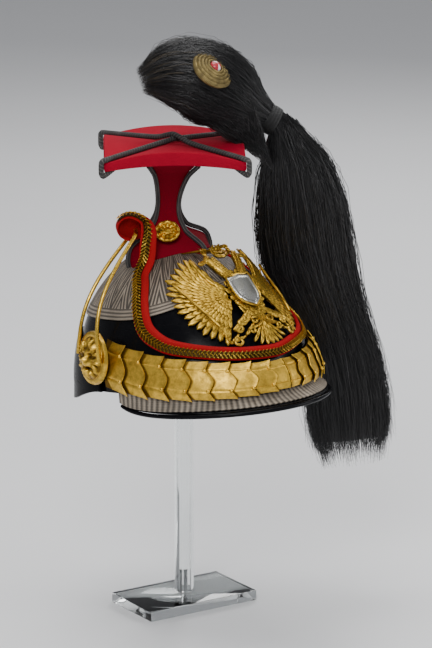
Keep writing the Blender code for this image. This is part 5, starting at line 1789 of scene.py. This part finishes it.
def strands(name, routes, radius, sheen_tones):
    """Thin three-sided hairs along routes, an array of hairs, points and axes. Tones, which paint sheen on the
    paler hairs, go to the UV map.
    """
    count, steps = routes.shape[:2]
    ahead = np.gradient(routes, axis=1)
    ahead /= np.linalg.norm(ahead, axis=2)[:, :, None] + 1e-12
    side = np.cross(ahead, np.array((0.31, 0.22, 0.92)))
    side /= np.linalg.norm(side, axis=2)[:, :, None] + 1e-12
    lift = np.cross(ahead, side)
    share = np.linspace(0.0, 1.0, steps)
    reach = radius * (1 - 0.75 * share**2)
    rings = []
    for turn in range(3):
        angle = math.tau * turn / 3
        off = side * math.cos(angle) + lift * math.sin(angle)
        rings.append(routes + off * reach[None, :, None])
    points = np.stack(rings, axis=2).reshape(-1, 3)
    hair = np.arange(count)[:, None, None] * steps * 3
    step = np.arange(steps - 1)[None, :, None] * 3
    corner = np.arange(3)[None, None, :]
    after = (corner + 1) % 3
    low, high = hair + step, hair + step + 3
    faces = np.stack([low + corner, low + after, high + after, high + corner], axis=-1)
    mesh = bpy.data.meshes.new(name)
    mesh.from_pydata(points.tolist(), [], faces.reshape(-1, 4).tolist())
    # The UV map carries each hair's tone of painted sheen.
    spots = np.stack([np.repeat(sheen_tones, (steps - 1) * 12), np.full(count * (steps - 1) * 12, 0.5)], axis=1)
    mesh.uv_layers.new(name="tone").data.foreach_set("uv", spots.reshape(-1))
    piece = bpy.data.objects.new(name, mesh)
    bpy.context.scene.collection.objects.link(piece)
    return piece


def flowing(rows, width_key, starts, ends, shares, angles, steps, chance, wander, clump):
    """Hairs that follow the plume, each from a start to an end at a share of its radius and an angle."""
    line, side, near, size, length = plume_curve(rows, width_key, FLOW_STEPS)
    even = np.linspace(0.0, 1.0, FLOW_STEPS)
    place = starts[:, None] + (ends - starts)[:, None] * np.linspace(0.0, 1.0, steps)[None, :]
    inside = np.clip(place, 0.0, 1.0)
    beyond = place - inside

    def read(values):
        return np.interp(inside, even, values)

    lock = np.round(angles / clump) * clump
    pull = 0.75 * np.abs(place - starts[:, None])
    turn = angles[:, None] + (lock - angles)[:, None] * np.clip(pull, 0.0, 0.8)
    wave = chance.uniform(0, math.tau, (len(starts), 4))
    sway = wander * np.abs(place - starts[:, None])
    turn = turn + 0.05 * np.sin(place * 9 + wave[:, :1])
    reach = shares[:, None] * (1 + 0.05 * np.sin(place * 14 + wave[:, 1:2]))
    out = read(size[:, 0]) * np.cos(turn) * reach + sway * np.sin(place * 11 + wave[:, 2:3])
    deep = read(size[:, 1]) * np.sin(turn) * reach + sway * np.sin(place * 8 + wave[:, 3:4])
    middle = np.stack([read(line[:, axis]) for axis in range(3)], axis=2)
    ways = np.stack([read(side[:, axis]) for axis in range(3)], axis=2)
    first, last = line[0] - line[4], line[-1] - line[-5]
    first, last = first / np.linalg.norm(first), last / np.linalg.norm(last)
    run = np.where((beyond < 0)[:, :, None], -first[None, None, :], last[None, None, :])
    routes = middle + ways * out[:, :, None] + near[None, None, :] * deep[:, :, None]
    return routes + run * (beyond * length)[:, :, None]


def lock_sheen_tones(angles, clump, chance):
    """How grey each hair is, as painted sheen: partly its lock's, partly its own."""
    lock = 0.5 + 0.5 * np.sin(np.round(angles / clump) * 37.7)
    return 0.5 * lock + 0.5 * chance.random(len(angles))


def build_droop(hair, chance, radius):
    """Loose hair that sags under the head, over the board's corner, and back up to the tie."""
    count, steps = DROOP_HAIRS, 7
    outward, nearby = np.array(board_axes()[0]), -np.array(board_axes()[1])
    middle = np.array(plume_place(0.0, 0.0, 0.0))
    scatter = chance.uniform(0.0, 1.0, (count, 6))
    share = np.linspace(0.0, 1.0, steps)[None, :]
    rise = (1 - share) ** 2, 2 * share * (1 - share), share**2
    start, end = -0.036 + 0.046 * scatter[:, :1], 0.010 + 0.014 * scatter[:, 2:3]
    out = rise[0] * start + rise[1] * (start * 0.35 + end * 0.65 - 0.004 * scatter[:, 1:2]) + rise[2] * end
    side = 0.010 + 0.016 * (scatter[:, 3:4] - 0.5) + 0.002 * np.sin(share * 9 + scatter[:, 5:6] * 6)
    up = rise[0] * (0.036 + 0.010 * scatter[:, :1]) + rise[1] * (0.012 + 0.016 * scatter[:, :1])
    up = up + rise[2] * (0.016 - 0.022 * scatter[:, 2:3]) + 0.003 * np.sin(share * 7 + scatter[:, 4:5] * 6)
    routes = middle + outward * out[:, :, None] + nearby * side[:, :, None]
    routes = routes + np.array((0.0, 0.0, 1.0)) * up[:, :, None]
    # Each droop hair's random tone paints sheen on it.
    droop = strands("plume_head_droop", routes, radius, 0.75 * scatter[:, 5])
    dress(droop, hair, [], HAIR_SLOPE)


def build_plume():
    looks = bpy.context.scene.cap_looks
    hair = hair_finish("black_horsehair")
    chance = np.random.default_rng(HAIR_SEED)
    head = (PLUME_HEAD_ROWS, "tall")
    tail = (PLUME_TAIL_ROWS, "wide")

    def grow(name, rows, starts, ends, shares, steps, sway, clump, finish=None):
        """Lays hairs along the plume at random angles, and dresses them. Those with a finish get no tone of
        painted sheen.
        """
        angles = chance.uniform(0, math.tau, len(starts))
        routes = flowing(*rows, starts, ends, shares, angles, steps, chance, sway, clump)
        sheen_tones = np.zeros(len(starts)) if finish else lock_sheen_tones(angles, clump, chance)
        made = strands(name, routes, looks.strand_radius, sheen_tones)
        dress(made, finish or hair, [], HAIR_SLOPE)

    dress(plume_core("plume_head_core", *head, 0.90), hair, ["plume_head"], SLOPE)
    dress(plume_core("plume_tail_core", *tail, 0.86), hair, ["plume_tail"], SLOPE)
    count = looks.head_strands
    starts = chance.uniform(0.55, 1.0, count)
    ends = starts - chance.uniform(0.45, 0.85, count)
    ends = np.maximum(ends, chance.uniform(-0.05, 0.02, count))
    shares = chance.uniform(0.90, 1.05, count) + chance.random(count) ** 12 * 0.16
    grow("plume_head_strands", head, starts, ends, shares, 6, HAIR_SWAY, HEAD_CLUMP)
    for part in range(2):
        count = looks.tail_strands
        rooted = chance.random(count) < 0.5
        starts = np.where(rooted, chance.uniform(0.0, 0.04, count), chance.uniform(0.0, 0.5, count))
        ends = np.minimum(starts + chance.uniform(0.6, 0.98, count), chance.normal(0.985, 0.028, count))
        ends = np.minimum(ends, 1.035)
        shares = chance.uniform(0.86, 1.03, count) + chance.random(count) ** 14 * 0.22
        grow("plume_tail_strands_%d" % part, tail, starts, ends, shares, 7, HAIR_SWAY, TAIL_CLUMP)
    count = FRINGE_HAIRS
    starts = chance.uniform(0.12, 0.4, count)
    ends = chance.uniform(-0.06, 0.02, count)
    shares = chance.uniform(0.9, 1.12, count)
    fringe = Finish("brown_hair", roughness=0.55)
    grain = fringe.noise(500.0, 2.0)
    fringe.set("Base Color", fringe.mix(grain, (0.012, 0.009, 0.006), (0.09, 0.065, 0.035)))
    grow("plume_head_fringe", head, starts, ends, shares, 6, 0.004, 0.3, fringe)
    build_droop(hair, chance, looks.strand_radius)
    start, end = PLUME_HEAD_ROWS[-1], PLUME_TAIL_ROWS[1]
    first = plume_place(start["out"], 0.0, start["up"])
    last = plume_place(end["out"], end["side"], end["up"])
    axis = (last - first).normalized()
    inner = PLUME_SIZE * 0.15 + GAP * 3
    half = TIE_LENGTH / 2
    profile = [(inner * 0.99, -half)]
    for share in spread(-1.0, 1.0, 41):
        bulge = TIE_WALL * (0.55 + 0.45 * arched(share * share))
        wound = 0.00018 * math.cos(share * math.pi * 12)
        profile.append((inner + bulge + wound, share * half))
    profile.append((inner * 0.99, half))
    profile.append(profile[0])
    tie = turned("plume_tie_wound", profile, 48)
    stand_up(tie, first - axis * TIE_LENGTH * 0.15, axis)
    dark = Finish("tie_cord", roughness=0.6, base_color=(0.006, 0.006, 0.006))
    dress(tie, dark, ["plume_tie"], SLOPE)
    foot = BOARD_BULGE + GAP * 2
    level = (board_low(1, 0) + board_high(1, 0)) / 2
    turn_out = foot + BRACKET_OUT
    route = [
        plume_place(foot, 0.0, level),
        plume_place(turn_out - 0.004, 0.0, level),
        plume_place(turn_out - 0.001, 0.0, level + 0.001),
        plume_place(turn_out, 0.0, level + 0.004),
        plume_place(turn_out, 0.0, level + BRACKET_RISE),
    ]
    piece = tube("plume_bracket_rod", smooth(route, 6), 16, lambda share, angle: BRACKET_RADIUS)
    dress(piece, iron_finish("black_iron"), ["plume_bracket"], SLOPE)


def build_cockade():
    outward, nearby = board_axes()[0], -board_axes()[1]
    facing = (outward * COCKADE_FACES[0] + nearby * COCKADE_FACES[1] + UP * COCKADE_FACES[2]).normalized()
    middle = plume_place(COCKADE_OUT, COCKADE_SIDE, COCKADE_UP)
    radius, depth = COCKADE_RADIUS, COCKADE_DEPTH
    profile = [(0.0, 0.0), (radius * 0.92, 0.0)]
    for share in spread(1.0, 0.30, 64):
        ring = abs(math.sin(math.pi * 5 * (1 - share) / 0.72))
        height = depth * (0.30 + 0.70 * (1 - share**3)) + COCKADE_RING * ring * ease((1 - share) / 0.02)
        profile.append((radius * share, height))
    profile += [(radius * 0.29, depth * 0.7), (0.0, depth * 0.7)]
    piece = stand_up(turned("cockade_rings", profile, 144), middle, facing)
    dress(piece, bullion_finish("gold_bullion", 90), ["cockade"], SLOPE)
    small = COCKADE_CENTRE_RADIUS
    profile = [(0.0, depth * 0.6), (small, depth * 0.6)]
    for share in spread(0.0, 1.0, 14):
        angle = share * math.pi / 2
        profile.append((small * math.cos(angle), depth * (0.95 + 0.42 * math.sin(angle))))
    piece = stand_up(turned("cockade_centre_button", profile, 40), middle, facing)
    dress(piece, centre_finish("red_centre"), ["cockade_centre"], SLOPE)


def box_form(name, size, middle, bevel):
    piece = fresh(bpy.ops.mesh.primitive_cube_add, name, size=1.0)
    turn = Matrix.Rotation(STAND_TURN, 4, "Z")
    piece.data.transform(Matrix.Translation(middle) @ turn @ Matrix.Diagonal((*size, 1.0)))
    return modify(piece, "BEVEL", width=bevel, segments=3)


def build_stand():
    clear = acrylic_finish("clear_acrylic")
    size = (PLATE_LENGTH, PLATE_WIDTH, PLATE_THICKNESS)
    plate = box_form("stand_plate_clear", size, (0, 0, PLATE_THICKNESS / 2), 0.0006)
    dress(plate, clear, ["stand_plate"], 30)
    head_low = stand_head_low()
    low, high = PLATE_THICKNESS + GAP, head_low - GAP
    post = box_form("stand_post_clear", (POST_SIDE, POST_SIDE, high - low), (0, 0, (low + high) / 2), 0.0005)
    dress(post, clear, ["stand_post"], 30)


def build_metal_stud():
    low, high = PLATE_THICKNESS - STUD_IN_PLATE, PLATE_THICKNESS + GAP + STUD_IN_POST
    route = [Vector((0, 0, level)) for level in spread(low, high, 120)]

    def reach(share, angle):
        return STUD_RADIUS - THREAD_DEPTH + THREAD_DEPTH * math.cos(share * math.tau * THREAD_TURNS + angle)

    piece = tube("stand_stud_thread", route, 20, reach)
    dress(piece, steel_finish("steel"), ["stand_stud"], SLOPE)


AZIMUTH = math.radians(-43.0)
ELEVATION = math.radians(14.4)
FLOOR_SIDE = 20.0
CAMERA_AWAY = 3.0
CAMERA_LENS = 199.6
ROOM_COLOUR = (0.93, 0.95, 1.0, 1.0)
ROOM_LIGHT = 0.30
TARGET = (0.0198, -0.0184, 0.2435)
LIGHTS = table(
    "name place size power",
    ("key", (-1.6, -1.3, 1.7), 1.0, 36.0),
    ("fill", (1.4, -1.4, 0.8), 1.0, 12.0),
    ("top", (0.1, 0.3, 2.1), 1.4, 30.0),
    ("back", (1.6, 1.0, 1.3), 0.8, 14.0),
)


def build_stage():
    away = Vector((-math.sin(AZIMUTH), math.cos(AZIMUTH), 0))

    def place(across, along):
        return Vector(((across - 0.5) * FLOOR_SIDE, (along - 0.5) * FLOOR_SIDE, -0.0002))

    floor = sheet("stage_floor", 2, 2, place)
    paper = Finish("pale_paper", roughness=0.55)
    paper.set("Base Color", paper.mix(paper.noise(3.0, 2.0), (0.80, 0.80, 0.81), (0.84, 0.84, 0.845)))
    floor.data.materials.append(paper.material)
    for row in LIGHTS:
        lamp = fresh(bpy.ops.object.light_add, "light_" + row["name"], type="AREA", location=row["place"])
        lamp.data.size = row["size"]
        lamp.data.energy = row["power"]
        lamp.rotation_euler = (Vector(TARGET) - Vector(row["place"])).to_track_quat("-Z", "Y").to_euler()
    world = bpy.data.worlds.new("soft_room")
    world.use_nodes = True
    room = world.node_tree.nodes["Background"]
    room.inputs["Color"].default_value = ROOM_COLOUR
    room.inputs["Strength"].default_value = ROOM_LIGHT
    bpy.context.scene.world = world
    way = (-away * math.cos(ELEVATION) + UP * math.sin(ELEVATION)) * CAMERA_AWAY
    camera = fresh(bpy.ops.object.camera_add, "front_camera", location=Vector(TARGET) + way)
    camera.rotation_euler = (-way).to_track_quat("-Z", "Y").to_euler()
    camera.data.lens = CAMERA_LENS
    camera.data.sensor_width = 36.0
    camera.data.clip_end = 20.0
    bpy.context.scene.camera = camera


def colour_setting(name, value):
    settings = {"name": name, "description": "Linear colour", "subtype": "COLOR", "size": 3}
    return bpy.props.FloatVectorProperty(min=0.0, max=1.0, default=value, **settings)


class CapLooks(bpy.types.PropertyGroup):
    """The cap's colours and how much hair its plume has."""

    gilt: colour_setting("Gilt", (0.80, 0.505, 0.065))
    # Gilt's dark colour, for random stains and for painted shade in grooves, recesses and past the scales'
    # edges.
    gilt_shadow: colour_setting("Gilt shadow", (0.10, 0.045, 0.006))
    cloth: colour_setting("Board cloth", (0.42, 0.006, 0.026))
    # Waist cloth: a darker copy of the board's red, painted shade under the board.
    shaded_waist_cloth: colour_setting("Waist cloth", (0.26, 0.004, 0.016))
    band: colour_setting("Chain band", (0.45, 0.012, 0.016))
    lace: colour_setting("Lace", (0.42, 0.35, 0.27))
    cord: colour_setting("Cord", (0.036, 0.035, 0.036))
    cord_light: colour_setting("Cord's light strand", (0.20, 0.19, 0.17))
    # The hair's palest tone, which the paler strands take as painted sheen.
    hair: colour_setting("Hair", (0.060, 0.057, 0.058))
    bullion: colour_setting("Cockade", (0.36, 0.27, 0.10))
    head_strands: bpy.props.IntProperty(
        name="Head strands",
        description="Loose hairs on the plume's head",
        min=100,
        max=5500,
        default=5000,
    )
    tail_strands: bpy.props.IntProperty(
        name="Tail strands",
        description="Loose hairs in each half of the tail",
        min=100,
        max=4700,
        default=3700,
    )
    strand_radius: bpy.props.FloatProperty(
        name="Strand radius",
        description="Radius of a hair at its root",
        unit="LENGTH",
        min=0.00005,
        max=0.001,
        default=0.00023,
    )


class CAP_OT_leather(bpy.types.Operator):
    """Builds the lacquered skull, neck guard, visor with its binding, and strap."""

    bl_idname = "cap.leather"
    bl_label = "Leather"

    def execute(self, context):
        build_leather()
        return {"FINISHED"}


class CAP_OT_lace(bpy.types.Operator):
    """Builds the woven lace on the skull and on the visor."""

    bl_idname = "cap.lace"
    bl_label = "Lace"

    def execute(self, context):
        build_lace()
        return {"FINISHED"}


class CAP_OT_scales(bpy.types.Operator):
    """Builds both sides' gilt scales with their rivets."""

    bl_idname = "cap.scales"
    bl_label = "Scales"

    def execute(self, context):
        build_scales()
        return {"FINISHED"}


class CAP_OT_bosses(bpy.types.Operator):
    """Builds the two bosses with their lion masks."""

    bl_idname = "cap.bosses"
    bl_label = "Bosses"

    def execute(self, context):
        build_bosses()
        return {"FINISHED"}


class CAP_OT_waist(bpy.types.Operator):
    """Builds the red waist, its corner cords and its button."""

    bl_idname = "cap.waist"
    bl_label = "Waist"

    def execute(self, context):
        build_waist()
        build_waist_cords()
        build_button()
        return {"FINISHED"}


class CAP_OT_board(bpy.types.Operator):
    """Builds the red top board and the two cords over it."""

    bl_idname = "cap.board"
    bl_label = "Top board"

    def execute(self, context):
        build_board()
        build_top_cords()
        return {"FINISHED"}


class CAP_OT_chain(bpy.types.Operator):
    """Builds the curb chain on its red band, and the wire bail."""

    bl_idname = "cap.chain"
    bl_label = "Chain"

    def execute(self, context):
        build_chain()
        build_bail()
        return {"FINISHED"}


class CAP_OT_eagle(bpy.types.Operator):
    """Builds the eagle plate's relief and its bare shield."""

    bl_idname = "cap.eagle"
    bl_label = "Eagle plate"

    def execute(self, context):
        build_eagle()
        return {"FINISHED"}


class CAP_OT_plume(bpy.types.Operator):
    """Builds the plume's hair, tie and bracket, and the cockade."""

    bl_idname = "cap.plume"
    bl_label = "Plume"

    def execute(self, context):
        build_plume()
        build_cockade()
        return {"FINISHED"}


class CAP_OT_stand(bpy.types.Operator):
    """Builds the clear stand and its steel stud."""

    bl_idname = "cap.stand"
    bl_label = "Stand"

    def execute(self, context):
        build_stand()
        build_metal_stud()
        return {"FINISHED"}


class CAP_OT_stage(bpy.types.Operator):
    """Builds the pale floor, the soft lights and the camera."""

    bl_idname = "cap.stage"
    bl_label = "Stage"

    def execute(self, context):
        build_stage()
        return {"FINISHED"}


PIECES = (
    CAP_OT_leather,
    CAP_OT_lace,
    CAP_OT_scales,
    CAP_OT_bosses,
    CAP_OT_waist,
    CAP_OT_board,
    CAP_OT_chain,
    CAP_OT_eagle,
    CAP_OT_plume,
    CAP_OT_stand,
    CAP_OT_stage,
)


class CAP_PT_panel(bpy.types.Panel):
    """The cap's settings and its pieces, in the sidebar."""

    bl_idname = "CAP_PT_panel"
    bl_label = "Lancer cap"
    bl_space_type = "VIEW_3D"
    bl_region_type = "UI"
    bl_category = "Lancer cap"

    def draw(self, context):
        layout = self.layout
        for name in CapLooks.__annotations__:
            layout.prop(context.scene.cap_looks, name)
        for piece in PIECES:
            layout.operator(piece.bl_idname)


def register():
    for kind in (CapLooks, *PIECES, CAP_PT_panel):
        bpy.utils.register_class(kind)
    bpy.types.Scene.cap_looks = bpy.props.PointerProperty(type=CapLooks)


def unregister():
    del bpy.types.Scene.cap_looks
    for kind in (CAP_PT_panel, *PIECES[::-1], CapLooks):
        bpy.utils.unregister_class(kind)


def main():
    register()
    bpy.ops.cap.leather()
    bpy.ops.cap.lace()
    bpy.ops.cap.scales()
    bpy.ops.cap.bosses()
    bpy.ops.cap.waist()
    bpy.ops.cap.board()
    bpy.ops.cap.chain()
    bpy.ops.cap.eagle()
    bpy.ops.cap.plume()
    bpy.ops.cap.stand()
    bpy.ops.cap.stage()


if __name__ == "__main__":
    main()
